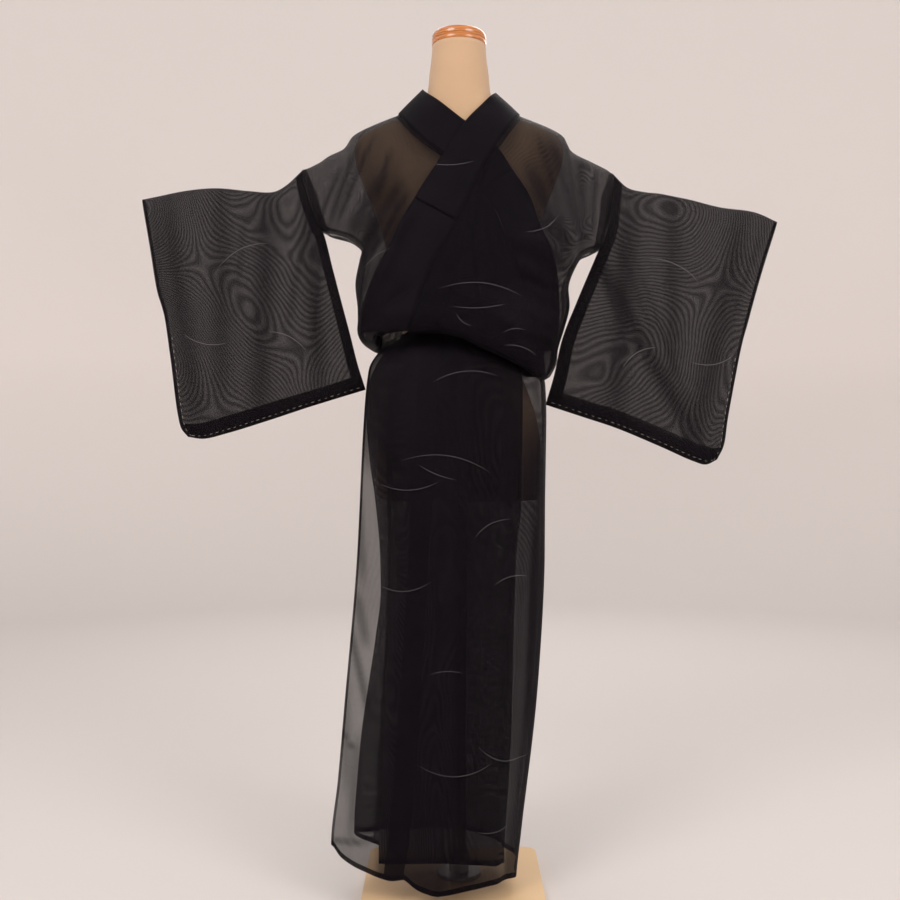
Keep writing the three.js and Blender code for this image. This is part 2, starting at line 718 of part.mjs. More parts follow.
const SKIRT_SHARES = [
  0, 0.03, 0.06, 0.09, 0.125, 0.17, 0.23, 0.3, 0.38, 0.46, 0.54, 0.62, 0.7, 0.78, 0.86, 0.93, 1,
];
const LOWER_FOLDS = table("turn depth", [
  [-180, 0],
  [-168, 5],
  [-156, -3],
  [-140, 4],
  [-122, -3],
  [-104, 3],
  [-84, 0],
  [-60, -2],
  [-40, 2],
  [0, 0],
  [30, 3],
  [46, -3],
  [64, 3],
  [82, -2],
  [100, 3],
  [120, -4],
  [142, 4],
  [160, -2],
  [172, 4],
  [180, 0],
]);

// A point of the wrap at an angle from the centre front, positive to the wearer's left.
function wrapPoint(turn, z, outward) {
  const { right, left, front, back, forward } = WRAP(z);
  const angle = turn * THREE.MathUtils.DEG2RAD;
  const power = 2 / WRAP_ROUNDNESS;
  const fold = LOWER_FOLDS(turn).depth * (1 - ramp(z, FOLDS_FULL, FOLDS_START)) + outward;
  const halfWidth = (turn < 0 ? right : left) + fold;
  const depth = (Math.abs(turn) < 90 ? front : back) + fold;
  const x = halfWidth * Math.sign(Math.sin(angle)) * Math.abs(Math.sin(angle)) ** power;
  const y = -depth * Math.sign(Math.cos(angle)) * Math.abs(Math.cos(angle)) ** power;
  return new THREE.Vector3(x, y - forward, z);
}

// The angle at which the front of the wrap has a given x.
function wrapTurn(x, z) {
  const { right, left } = WRAP(z);
  const share = clamp(Math.abs(x) / (x < 0 ? right : left), 0, 1);
  return Math.sign(x) * Math.asin(share ** (WRAP_ROUNDNESS / 2)) * THREE.MathUtils.RAD2DEG;
}

// Edges of the lower pieces, as x against height.
const RIGHT_SIDE_SEAM = table("z x", [
  [90, -146],
  [238, -139],
  [627, -128],
  [996, -112],
  [SKIRT_TOP, -78],
]);
const UNDER_GORE_SEAM = table("z x", [
  [90, 33],
  [198, 33],
  [595, 42],
  [740, 62],
  [812, 74],
  [957, 79],
  [SKIRT_TOP, 50],
]);
const UNDER_FREE_EDGE = table("z x", [
  [90, 84],
  [241, 92],
  [628, 104],
  [738, 114],
  [959, 116],
  [SKIRT_TOP, 78],
]);
const OVER_GORE_SEAM = table("z x", [
  [62, -96],
  [132, -86],
  [239, -77],
  [579, -57],
  [862, -42],
  [955, -39],
  [SKIRT_TOP, -30],
]);
// The over front's free edge flies clear of the wrap: its x and y against height.
const OVER_FREE_EDGE = table("z x y", [
  [108, -235, -100],
  [225, -223, -96],
  [369, -211, -88],
  [626, -190, -76],
  [886, -178, -64],
  [979, -169, -62],
  [1013, -150, -60],
  [SKIRT_TOP, -100, -56],
]);
const LEFT_SIDE_TURN = 97;
const HEM_OVER = table("x z", [
  [-235, 108],
  [-216, 91],
  [-190, 79],
  [-166, 71],
  [-143, 63],
  [-121, 58],
  [-96, 60],
  [-84, 50],
  [-71, 42],
  [-53, 36],
  [-41, 33],
  [-21, 36],
  [19, 45],
  [55, 50],
  [83, 49],
  [106, 43],
]);
const HEM_UNDER = table("x z", [
  [-162, 78],
  [-93, 86],
  [-35, 90],
  [37, 86],
  [79, 78],
]);
const HEM_BACK = table("turn z", [
  [-180, 108],
  [-120, 118],
  [-80, 128],
  [-50, 124],
  [97, 60],
  [130, 84],
  [180, 104],
]);

// A lower piece between two edges that are given as functions of height.
function lowerPiece(name, columns, from, to, outward, hem) {
  const grid = SKIRT_SHARES.map((share) =>
    steps(columns).map((u) => {
      let turn = 0;
      let z = lerp(SKIRT_TOP, HEM_GUESS, share);
      for (let pass = 0; pass < SETTLING; pass++) {
        turn = lerp(from(z), to(z), u);
        const x = wrapPoint(turn, z, 0).x;
        z = lerp(SKIRT_TOP, hem(x, turn), share);
      }
      return wrapPoint(turn, z, outward(turn));
    }),
  );
  add(name, wall(grid), "gauze");
}

const GAP_TURN = 0.16; // degrees kept free on each side of a seam of the wrap
const overWrap = (turn) => LAYER * (1 - ramp(turn, ...OVER_ENDS));

function lowerPieces() {
  const rightSide = (z) => wrapTurn(RIGHT_SIDE_SEAM(z).x, z);
  const underSeam = (z) => wrapTurn(UNDER_GORE_SEAM(z).x, z);
  const underEdge = (z) => wrapTurn(UNDER_FREE_EDGE(z).x, z);
  const overSeam = (z) => wrapTurn(OVER_GORE_SEAM(z).x, z);
  const less = (read) => (z) => read(z) - GAP_TURN;
  const more = (read) => (z) => read(z) + GAP_TURN;
  const fixed = (turn) => () => turn;
  const none = () => 0;
  const back = (x, turn) => HEM_BACK(turn).z;
  const under = (x) => HEM_UNDER(x).z;
  const over = (x) => HEM_OVER(x).z;
  lowerPiece("back_right_lower", 10, fixed(-180 + GAP_TURN), less(rightSide), none, back);
  lowerPiece("front_right_lower", 6, more(rightSide), less(underSeam), none, under);
  lowerPiece("overlap_right_lower", 3, more(underSeam), underEdge, none, under);
  const leftStart = fixed(LEFT_SIDE_TURN + GAP_TURN);
  lowerPiece("back_left_lower", 7, leftStart, fixed(180 - GAP_TURN), none, back);
  const leftEnd = fixed(LEFT_SIDE_TURN - GAP_TURN);
  lowerPiece("front_left_lower", 10, more(overSeam), leftEnd, overWrap, over);
  overFlap(less(overSeam), over);
}

// The over front's overlap panel lies on the wrap at its seam and leaves it towards the edge.
const FLAP_COLUMNS = 6;
const FLAP_BEND = 2.6;

function overFlap(seamTurn, hem) {
  const grid = SKIRT_SHARES.map((share) =>
    steps(FLAP_COLUMNS).map((u) => {
      let z = lerp(SKIRT_TOP, HEM_GUESS, share);
      let point;
      for (let pass = 0; pass < SETTLING; pass++) {
        const seam = wrapPoint(seamTurn(z), z, LAYER);
        const edge = OVER_FREE_EDGE(z);
        const x = lerp(edge.x, seam.x, u);
        const y = seam.y + (edge.y - seam.y) * (1 - u) ** FLAP_BEND;
        point = new THREE.Vector3(x, y, z);
        z = lerp(SKIRT_TOP, hem(x), share);
      }
      return point;
    }),
  );
  add("overlap_left_lower", wall(grid), "gauze");
}

// Sleeves: each half is bounded by the top fold, the bottom seam, the cuff and the inner edge,
// which is sewn to the body down to the armhole's end and open below it.
const SLEEVES = {
  right: {
    side: -1,
    top: [
      [-302, 1370], [-336, 1342], [-361, 1331], [-413, 1337], [-476, 1347],
      [-539, 1346], [-602, 1338], [-637, 1334],
    ],
    cuff: [
      [-637, 1334], [-619, 1238], [-603, 1149], [-591, 1110], [-575, 1010],
      [-560, 901], [-552, 872], [-538, 856],
    ],
    bottom: [[-180, 946], [-272, 918], [-378, 885], [-455, 863], [-505, 852], [-538, 856]],
    inner: [
      [-302, 1370], [-300, 1356], [-289, 1311], [-270, 1263], [-262, 1249],
      [-244, 1180], [-228, 1119], [-211, 1055], [-195, 992], [-180, 946],
    ],
    sewn: 1249,
    sweep: 90,
  },
  left: {
    side: 1,
    top: [
      [298, 1362], [327, 1338], [360, 1332], [395, 1331], [451, 1324],
      [520, 1312], [596, 1306], [643, 1290],
    ],
    cuff: [
      [643, 1290], [609, 1189], [582, 1099], [564, 1032], [554, 985],
      [536, 893], [527, 838], [513, 811],
    ],
    bottom: [[167, 917], [240, 893], [312, 869], [395, 836], [462, 808], [490, 801], [513, 811]],
    inner: [
      [298, 1362], [298, 1356], [293, 1301], [285, 1253], [270, 1216],
      [229, 1119], [200, 1045], [183, 970], [167, 917],
    ],
    sewn: 1216,
    sweep: 95,
  },
};
const SLEEVE_COLUMNS = [0, 0.035, 0.1, 0.2, 0.31, 0.42, 0.53, 0.64, 0.75, 0.86, 0.94, 1];
const SLEEVE_ROWS = [
  0, 0.012, 0.035, 0.075, 0.14, 0.22, 0.31, 0.4, 0.48, 0.57, 0.66, 0.76, 0.86, 0.94, 0.98, 1,
];
const SLEEVE_START = 10; // how far inside the sleeve seam the swing back starts
const ARMHOLE_GAP = 4 * SEAM; // gap between the sleeve and the body along their seam
const GAP_SHARE = 0.05; // share of the sleeve's width over which that gap closes
const CUFF_OPENING = 0.47; // share of the cuff edge that is left open, from the top
const CUFF_BLEND = 0.04; // shares of the cuff edge over which the opening closes
const CUFF_HOLLOW = 0.55; // depth of the hollow at the open cuff, as a share of the sleeve's
const CUFF_REACH = 0.3; // share of the sleeve's width over which it narrows to that
const SLEEVE_EDGE = 0.08; // share of the sleeve over which the hollow grows from a seam
const FOLDS_FROM = 0.25; // share of the sleeve's width at which its folds have their full depth
const SLEEVE_FOLDS = [
  { x1: 262, z1: 1205, x2: 470, z2: 845, wide: 26, out: -9 },
  { x1: 330, z1: 1290, x2: 300, z2: 900, wide: 34, out: 7 },
  { x1: 560, z1: 1270, x2: 470, z2: 870, wide: 36, out: 6 },
  { x1: 420, z1: 1310, x2: 420, z2: 1000, wide: 26, out: -5 },
  { x1: -290, z1: 1290, x2: -270, z2: 960, wide: 26, out: -7 },
  { x1: -370, z1: 1320, x2: -390, z2: 920, wide: 34, out: 7 },
  { x1: -470, z1: 1330, x2: -470, z2: 960, wide: 30, out: -5 },
  { x1: -580, z1: 1300, x2: -520, z2: 900, wide: 34, out: 6 },
];

// A smooth curve through corner points in the x-z plane, read by its share of length.
function curve(points) {
  const spline = new THREE.CatmullRomCurve3(
    points.map(([x, z]) => new THREE.Vector3(x, 0, z)),
    false,
    "centripetal",
  );
  return (t) => spline.getPointAt(clamp(t, 0, 1));
}

// How far back a sleeve lies at x: it swings back from the body to the cuff.
function sweepAt(sleeve, x) {
  const start = Math.abs(sleeve.top[0][0]) - SLEEVE_START;
  const end = Math.abs(sleeve.top[sleeve.top.length - 1][0]);
  return SIDE_LINE + sleeve.sweep * ((Math.max(Math.abs(x), start) - start) / (end - start));
}

// How deep a sleeve's hollow is on each side of its middle, at shares u of its width and v of
// its height.
function sleeveHollow(sleeve, u, v, z) {
  const ridge = sleeve.inner[0][1];
  const drop = u === 0 ? (ridge - z) / FOLD_ROUND : v / SLEEVE_EDGE;
  const open = CUFF_HOLLOW + (1 - CUFF_HOLLOW) * arch((1 - u) / CUFF_REACH);
  const sewn = arch((1 - u) / SLEEVE_EDGE);
  const atCuff = lerp(open, sewn, ramp(v, CUFF_OPENING - CUFF_BLEND, CUFF_OPENING + CUFF_BLEND));
  return SLEEVE_DEPTH * arch(drop) * arch((1 - v) / SLEEVE_EDGE) * atCuff;
}

function sleeveHalf(name, sleeve, face) {
  const top = curve(sleeve.top);
  const bottom = curve(sleeve.bottom);
  const cuff = curve(sleeve.cuff);
  const inner = curve(sleeve.inner);
  const corner = { a: top(0), b: top(1), c: bottom(0), d: bottom(1) };
  const grid = SLEEVE_ROWS.map((v) =>
    SLEEVE_COLUMNS.map((u) => {
      const point = top(u)
        .multiplyScalar(1 - v)
        .addScaledVector(bottom(u), v)
        .addScaledVector(inner(v), 1 - u)
        .addScaledVector(cuff(v), u)
        .addScaledVector(corner.a, -(1 - u) * (1 - v))
        .addScaledVector(corner.b, -u * (1 - v))
        .addScaledVector(corner.c, -(1 - u) * v)
        .addScaledVector(corner.d, -u * v);
      const besideBody = point.z > sleeve.sewn - SLEEVE_START * 2;
      const gap = besideBody ? ARMHOLE_GAP * (1 - Math.min(u / GAP_SHARE, 1)) : 0;
      point.x += sleeve.side * gap;
      const folds = foldsAt(SLEEVE_FOLDS, point.x, point.z) * ramp(u, 0, FOLDS_FROM);
      const half = (CLOTH + SEAM) / 2 + sleeveHollow(sleeve, u, v, point.z);
      point.y = sweepAt(sleeve, point.x) - folds + face * half;
      return point;
    }),
  );
  add(name, wall(grid), "gauze");
}

torso();
neckCap();
poleAndPlate();
upperPanel("body_left_upper", true);
upperPanel("body_right_upper", false);
upperGore("overlap_left_upper", OVER_COLLAR_EDGE, OVER_SEAM, OVER_POINT, overLayer, 0);
upperGore(
  "overlap_right_upper", UNDER_COLLAR_EDGE, UNDER_SEAM, UNDER_POINT, underLayer, UNDER_RAISED,
);
collars();
lowerPieces();
for (const [name, sleeve] of Object.entries(SLEEVES)) {
  sleeveHalf(`sleeve_${name}_front`, sleeve, -1);
  sleeveHalf(`sleeve_${name}_back`, sleeve, 1);
}

export default group;
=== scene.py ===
import math

import bpy
import numpy as np
from bpy.props import FloatProperty, FloatVectorProperty, IntProperty, PointerProperty
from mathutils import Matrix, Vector
from mathutils.bvhtree import BVHTree


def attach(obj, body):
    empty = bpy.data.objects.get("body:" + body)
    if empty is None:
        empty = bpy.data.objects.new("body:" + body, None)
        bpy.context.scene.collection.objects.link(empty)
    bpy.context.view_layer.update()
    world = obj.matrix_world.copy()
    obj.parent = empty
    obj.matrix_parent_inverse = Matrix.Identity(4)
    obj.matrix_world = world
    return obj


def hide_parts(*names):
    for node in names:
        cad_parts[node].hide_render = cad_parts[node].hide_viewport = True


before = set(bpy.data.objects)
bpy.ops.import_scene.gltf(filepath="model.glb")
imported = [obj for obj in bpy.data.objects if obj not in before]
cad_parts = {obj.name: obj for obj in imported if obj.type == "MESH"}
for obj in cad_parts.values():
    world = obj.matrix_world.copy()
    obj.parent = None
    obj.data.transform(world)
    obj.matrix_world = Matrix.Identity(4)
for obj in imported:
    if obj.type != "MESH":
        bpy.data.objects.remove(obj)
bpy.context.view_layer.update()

bl_info = {
    "name": "Silk gauze kimono",
    "version": (1, 0, 0),
    "blender": (4, 5, 0),
    "location": "3D View > Sidebar > Kimono",
    "description": "Builds an unlined silk gauze kimono on a dress form",
    "category": "Add Mesh",
}

MM = 0.001
SILK = "silk_gauze"

# The garment's frame is in millimetres, +Z up, front to -Y, the wearer's left to +X. The tables
# give the same forms as the solids, and the cloth's finer folds are added to them here.
LAYER = 7
SKIRT_TOP = 1050
SKIRT_LENGTH = 990
HEM_GUESS = 90
SIDE_LINE = 4
SLEEVE_DEPTH = 9
FOLD_ROUND = 40
CLOTH_GAP = 0.35
CLOTH_STEP = 7
A_HAIR = 1e-6


def linear(colour):
    """A hex sRGB colour as linear red, green and blue."""
    parts = [int(colour[i : i + 2], 16) / 255 for i in (1, 3, 5)]
    return tuple(p / 12.92 if p <= 0.04045 else ((p + 0.055) / 1.055) ** 2.4 for p in parts)


def table(*rows):
    """Reads rows at any key, smoothly and without overshoot; the first column is the key."""
    sorted_rows = np.array(sorted(rows), float)
    keys, values = sorted_rows[:, 0], sorted_rows[:, 1:]
    rise = np.diff(values, axis=0) / np.diff(keys)[:, None]
    before, after = rise[:-1], rise[1:]
    total = np.where(before + after == 0, 1, before + after)
    middle = np.where(before * after > 0, 2 * before * after / total, 0)
    end = np.zeros((1, values.shape[1]))
    slopes = np.vstack([end, middle, end])

    def read(key):
        held = np.clip(np.asarray(key, float), keys[0], keys[-1])
        i = np.clip(np.searchsorted(keys, held), 1, len(keys) - 1)
        span = keys[i] - keys[i - 1]
        t = ((held - keys[i - 1]) / span)[..., None]
        step = values[i] - values[i - 1]
        wide = span[..., None]
        bend = (slopes[i - 1] * wide - step) * (1 - t) + (step - slopes[i] * wide) * t
        found = values[i - 1] + step * t + bend * t * (1 - t)
        columns = [found[..., c] for c in range(found.shape[-1])]
        return columns[0] if len(columns) == 1 else columns

    return read


def ramp(x, low, high):
    t = np.clip((np.asarray(x, float) - low) / (high - low), 0, 1)
    return t * t * (3 - 2 * t)


def arch(height):
    return np.sqrt(1 - (1 - np.clip(height, 0, 1)) ** 2)


def lerp(a, b, t):
    return a + (b - a) * t


def added_up(steps):
    return np.concatenate([[0], np.cumsum(steps)])


def cloth_lengths(grid):
    """Distances over the cloth, to each of its columns and to each of its rows."""
    return [
        added_up(np.linalg.norm(np.diff(grid, axis=way), axis=2).mean(1 - way)) for way in (1, 0)
    ]


def cut_of(grid):
    """The width and the length of the cloth."""
    return [float(run[-1]) for run in cloth_lengths(grid)]


def smooth(values, t, fine):
    """Values known at t, read at finer places on one smooth curve."""
    slope = np.gradient(values, t, axis=0)
    i = np.clip(np.searchsorted(t, fine), 1, len(t) - 1)
    column = (-1,) + (1,) * (values.ndim - 1)
    span = (t[i] - t[i - 1]).reshape(column)
    s = (fine - t[i - 1]).reshape(column) / span
    return (
        values[i - 1] * (1 + 2 * s) * (1 - s) ** 2
        + values[i] * s * s * (3 - 2 * s)
        + slope[i - 1] * span * s * (1 - s) ** 2
        + slope[i] * span * s * s * (s - 1)
    )


def resampled(grid):
    """The same grid with smooth rows, a cloth step apart."""
    t = cloth_lengths(grid)[1]
    return smooth(grid, t, np.linspace(0, t[-1], int(round(t[-1] / CLOTH_STEP)) + 1))


def outward_normals(grid, middle=(0, 0, 0)):
    """Normals that point away from the middle, and whether the grid's own point inwards."""
    n = np.cross(np.gradient(grid, axis=1), np.gradient(grid, axis=0))
    n = n / np.maximum(np.linalg.norm(n, axis=2, keepdims=True), 1e-9)
    inwards = np.sum(n * (grid - middle) * [1, 1, 0.2]) < 0
    return (-n if inwards else n), inwards


# Upper stretch: half widths of the cloth's outline, and how far it stands out.
OUTLINE_RIGHT = table(
    (1008, 158), (1020, 166), (1036, 187), (1052, 194), (1092, 194), (1140, 199), (1190, 191),
    (1211, 187), (1231, 207), (1243, 238), (1249, 262), (1263, 270), (1311, 289), (1356, 300),
    (1370, 302),
)
OUTLINE_LEFT = table(
    (950, 170), (976, 184), (1019, 189), (1049, 198), (1110, 212), (1151, 210), (1172, 220),
    (1196, 233), (1204, 240), (1210, 258), (1216, 270), (1253, 285), (1301, 293), (1356, 298),
    (1362, 298),
)
CHEST = table(
    (950, 140, 122, 2.4), (1000, 143, 124, 2.4), (1040, 146, 124, 2.4), (1100, 146, 122, 2.4),
    (1200, 141, 119, 2.4), (1250, 133, 115, 2.0), (1300, 122, 111, 1.75), (1350, 110, 107, 1.75),
    (1400, 96, 103, 1.8), (1440, 84, 99, 2.0), (1475, 74, 92, 2.0),
)
SHOULDER_RIGHT = table(
    (0, 1516, 112), (117, 1473, 105), (142, 1463, 100), (186, 1443, 88), (202, 1433, 80),
    (219, 1409, 70), (249, 1394, 55), (269, 1381, 45), (302, 1370, FOLD_ROUND),
)
SHOULDER_LEFT = table(
    (0, 1516, 112), (117, 1471, 105), (142, 1461, 100), (186, 1441, 88), (200, 1430, 80),
    (212, 1405, 70), (253, 1383, 50), (282, 1370, 42), (298, 1362, FOLD_ROUND),
)
TAKE_UP_FRONT = table(
    (-178, 1022), (-158, 1021), (-138, 1039), (-75, 1041), (-48, 1041), (-7, 1034), (38, 1016),
    (84, 997), (124, 978), (158, 961), (187, 976),
)
TAKE_UP_BACK = table((-178, 1022), (-60, 1000), (60, 984), (187, 976))
TAKE_UP_ROUND = 34
TAKE_UP_TUCK = 9

# Folds: a straight run (x1, z1) to (x2, z2) seen from the front, its width, and how far it
# stands out (or, below 0, in).
BODY_FOLDS = [
    (-102, 1290, -142, 1216, 11, -8), (-140, 1222, -178, 1182, 12, -8),
    (-112, 1310, -185, 1192, 20, -12),
    (-140, 1330, -200, 1235, 20, 8),
    (-95, 1255, -170, 1130, 18, 6), (215, 1225, 172, 1400, 20, 10),
    (232, 1222, 225, 1380, 14, -8), (196, 1200, 128, 1345, 20, -8),
    (205, 1160, 92, 1225, 24, 7), (190, 1085, 60, 1120, 26, -6),
    (185, 1035, 70, 1070, 22, 6), (-180, 1085, -60, 1065, 20, 4),
    (-128, 1375, -150, 1290, 9, 4), (-190, 1390, -238, 1262, 10, 4),
    (-165, 1400, -222, 1262, 8, -4), (-222, 1350, -262, 1268, 8, -3),
    (-150, 1225, -182, 1120, 9, -5), (-120, 1180, -182, 1075, 10, 4),
    (-90, 1120, -178, 1058, 9, -4), (196, 1215, 150, 1400, 8, 5),
    (222, 1222, 198, 1405, 7, -5), (246, 1232, 256, 1345, 8, 4),
    (206, 1190, 110, 1290, 9, -4), (200, 1130, 110, 1165, 10, 4),
    (196, 1108, 100, 1140, 8, -4), (192, 1060, 90, 1094, 10, 5),
    (180, 1010, 96, 1035, 9, -4), (60, 1085, 130, 1010, 9, 3), (-60, 1095, -20, 1050, 9, 3),
]
BACK_FOLDS = [
    (-150, 1350, -196, 1210, 24, -9), (150, 1345, 205, 1200, 24, -9),
    (-60, 1080, -175, 1150, 28, 7), (65, 1060, 180, 1120, 26, 7),
    (-20, 1040, 120, 1035, 22, -5), (-120, 1390, -176, 1250, 10, 4),
    (118, 1385, 178, 1245, 10, 4), (-182, 1300, -232, 1240, 9, -4),
    (180, 1295, 236, 1232, 9, -4), (-90, 1050, -170, 1085, 10, -4),
    (90, 1030, 176, 1070, 10, -4), (-30, 1090, 60, 1070, 12, 3), (0, 1360, 0, 1150, 14, -3),
]


def folds_at(folds, x, z):
    """How far the folds stand out at (x, z)."""
    out = np.zeros(np.broadcast(x, z).shape)
    for x1, z1, x2, z2, wide, far in folds:
        run = np.array([x2 - x1, z2 - z1], float)
        length = math.hypot(*run)
        along = ((x - x1) * run[0] + (z - z1) * run[1]) / length**2
        aside = np.abs((x - x1) * run[1] - (z - z1) * run[0]) / length
        ends = ramp(along, -0.25, 0.2) * (1 - ramp(along, 0.8, 1.25))
        out = out + far * ends * np.exp(-((aside / wide) ** 2))
    return out


def fold_shade_at(folds, x, z, full=9.0):
    """Painted fold shade: how much denser the threads are drawn along the folds' lines, which
    darkens them, 1 in a fold of full depth.
    """
    narrow = [(*f[:4], f[4] * 0.6, min(abs(f[5]) / full, 1.0)) for f in folds]
    return np.clip(folds_at(narrow, x, z), 0, 1.8)


# Heights between which the side opens below the armhole.
SIDE_OPENS_LEFT = (1150, 1205)
SIDE_OPENS_RIGHT = (1185, 1235)


def seam_half(left, z):
    """Half the space between front and back at the side, which opens towards the sleeve."""
    opens = zip(SIDE_OPENS_LEFT, SIDE_OPENS_RIGHT)
    opened = ramp(z, *(np.where(left, *heights) for heights in opens))
    return lerp(CLOTH_GAP, SLEEVE_DEPTH + CLOTH_GAP, opened)


def outline_at(x, z):
    return np.where(x > 0, OUTLINE_LEFT(z), OUTLINE_RIGHT(z))


def shoulder_at(x):
    """The height of the shoulder's ridge at x, and its rounding."""
    both = zip(SHOULDER_LEFT(np.abs(x)), SHOULDER_RIGHT(np.abs(x)))
    return [np.where(x > 0, left, right) for left, right in both]


def take_up(face, x):
    return TAKE_UP_FRONT(x) if face < 0 else TAKE_UP_BACK(x)


def tuck_at(face, x, z):
    """How far the cloth is drawn in towards the take-up fold's edge."""
    return TAKE_UP_TUCK * (1 - arch((z - take_up(face, x)) / TAKE_UP_ROUND))


def chest_depth(face, x, z, outward=0.0):
    """How far out the upper stretch lies at (x, z), as y."""
    x, z = np.asarray(x, float), np.asarray(z, float)
    half_width = outline_at(x, z) + outward
    front, back, roundness = CHEST(z)
    ridge, rounding = shoulder_at(x)
    across = np.minimum(np.abs(x) / half_width, 1)
    bulge = (1 - across**roundness) ** (1 / roundness)
    over = arch((ridge - z) / rounding)
    edge = seam_half(x > 0, z)
    stand = (front + SIDE_LINE) if face < 0 else (back - SIDE_LINE)
    reach = stand + outward - tuck_at(face, x, z) - edge
    return SIDE_LINE + face * (edge * over + reach * bulge * over)


def creased(grid, face, amount):
    """The upper stretch with its folds, which die out at the seams and the shoulder."""
    x, y, z = grid[..., 0], grid[..., 1], grid[..., 2]
    ridge, rounding = shoulder_at(x)
    across = np.minimum(np.abs(x) / outline_at(x, z), 1)
    settled = ramp(1 - across, 0, 0.12) * ramp(ridge - z, 5, 50) * arch((ridge - z) / rounding)
    folds = folds_at(BODY_FOLDS if face < 0 else BACK_FOLDS, x, z) * settled * amount
    out = grid.copy()
    out[..., 1] = y + face * folds
    return out


OVER_SEAM = table((1030, -37), (1064, -36), (1123, -21), (1188, -1), (1276, 25), (1342, 44))
UNDER_SEAM = table((1000, 48), (1100, 38), (1200, 28), (1322, 17))
# The collar's outer edge (x, z) and inner edge (x, z, y where it stands beside the neck).
OVER_COLLAR = [
    (114, 1465, 67, 1509, -18), (106, 1451, 59, 1498, -38), (92, 1427, 41, 1474, -60),
    (67, 1387, 12, 1437), (46, 1350, -16, 1392), (24, 1306, -42, 1350), (9, 1272, -63, 1317),
    (-8, 1238, -84, 1281), (-29, 1202, -105, 1244), (-46, 1171, -124, 1204),
    (-62, 1136, -146, 1166), (-77, 1092, -168, 1121), (-87, 1062, -183, 1080),
    (-94, 1043, -187, 1046),
]
UNDER_COLLAR = [
    (-114, 1466, -66, 1514, -18), (-106, 1452, -58, 1502, -38), (-92, 1430, -38, 1482, -60),
    (-64, 1398, 5, 1443), (-30, 1369, 40, 1414), (8, 1338, 69, 1386), (38, 1302, 96, 1344),
    (62, 1268, 124, 1304), (84, 1212, 148, 1238), (104, 1160, 172, 1186), (120, 1110, 184, 1130),
    (134, 1060, 187, 1070), (140, 1010, 180, 1018),
]
NECK_SIDE_LEFT = (117, 1470, 69, 1515, 0)
NECK_SIDE_RIGHT = (-117, 1472, -68, 1522, 0)
NECK_BACK = [
    (108, 1465.5, 68, 1510, 22), (88, 1456, 63, 1504, 44), (55, 1442, 48, 1498, 66),
    (28, 1435, 26, 1494, 80), (0, 1432, 0, 1492, 84),
]


# Heights over which the fronts meet beside the neck, and places across over which each of them
# comes back to the body.
NECK_MEETS = (1440, 1468)
FRONTS_PART = (70, 150)


def over_front(z):
    return LAYER * (1 - ramp(z, *NECK_MEETS))


def over_layer(x, z):
    return over_front(z) * (1 - ramp(x, *FRONTS_PART))


def under_layer(x, z):
    return -over_front(z) * ramp(x, *FRONTS_PART)


def no_layer(x, z):
    return 0.0 * np.asarray(x, float)


OVER_POINT = 1342
UNDER_POINT = 1322
UNDER_RAISED = 8
OVER_COLLAR_EDGE = table(*[(r[1], r[0]) for r in [NECK_SIDE_LEFT, *OVER_COLLAR]])
UNDER_COLLAR_EDGE = table(*[(r[1], r[0]) for r in [NECK_SIDE_RIGHT, *UNDER_COLLAR]])
OVER_INNER_EDGE = table(*[(r[3], r[2]) for r in OVER_COLLAR])


def panel_edge(left, z):
    if left:
        return np.where(z > OVER_POINT, OVER_COLLAR_EDGE(z), OVER_SEAM(z))
    return np.where(z > UNDER_POINT, UNDER_COLLAR_EDGE(z), UNDER_SEAM(z))


# Rows of an upper body panel: heights at the inner and the outer edge.
LEVELS = {
    False: [
        (1105, 1100), (1150, 1148), (1190, 1190), (1215, 1211), (1240, 1231), (1262, 1243),
        (1284, 1249), (1312, 1282),
    ],
    True: [
        (1105, 1100), (1150, 1142), (1190, 1172), (1215, 1196), (1240, 1204), (1262, 1210),
        (1284, 1217), (1312, 1262),
    ],
}
# Rows over the shoulder: angle, height of the inner end in front, and the inner end behind.
OVER_SHOULDER = [
    (90, 1362, (0, 1432)), (66, 1404, (55, 1442)), (44, 1440, (88, 1456)),
    (22, 1461, (108, 1465.5)),
]
NECK_SIDE = 117
SHOULDER_ROUNDNESS = 1.8
TAKE_UP_SHARES = [0, 0.12, 0.34, 0.66]
PANEL_SPANS = 46
SHOULDER_END = {True: 298, False: 302}
BEYOND_SHOULDER = 400.0
COLLAR_SPANS = 16
COLLAR_ROLL = 4
COLLAR_FOLDED_BELOW = 1420
GORE_POINTS = 13
GORE_ROWS = 50
PANEL_RETURN = 75
GORE_RETURN = 60


def panel_x(side, roundness, x_in, x_out, u):
    """Places across a panel, spaced evenly round the body's section."""
    share = np.clip(np.abs(x_in / x_out), 0, 1)
    turn = lerp(np.sign(x_in) * np.arcsin(share ** (roundness / 2)), side * math.pi / 2, u)
    return np.sign(turn) * np.abs(x_out) * np.abs(np.sin(turn)) ** (2 / roundness)


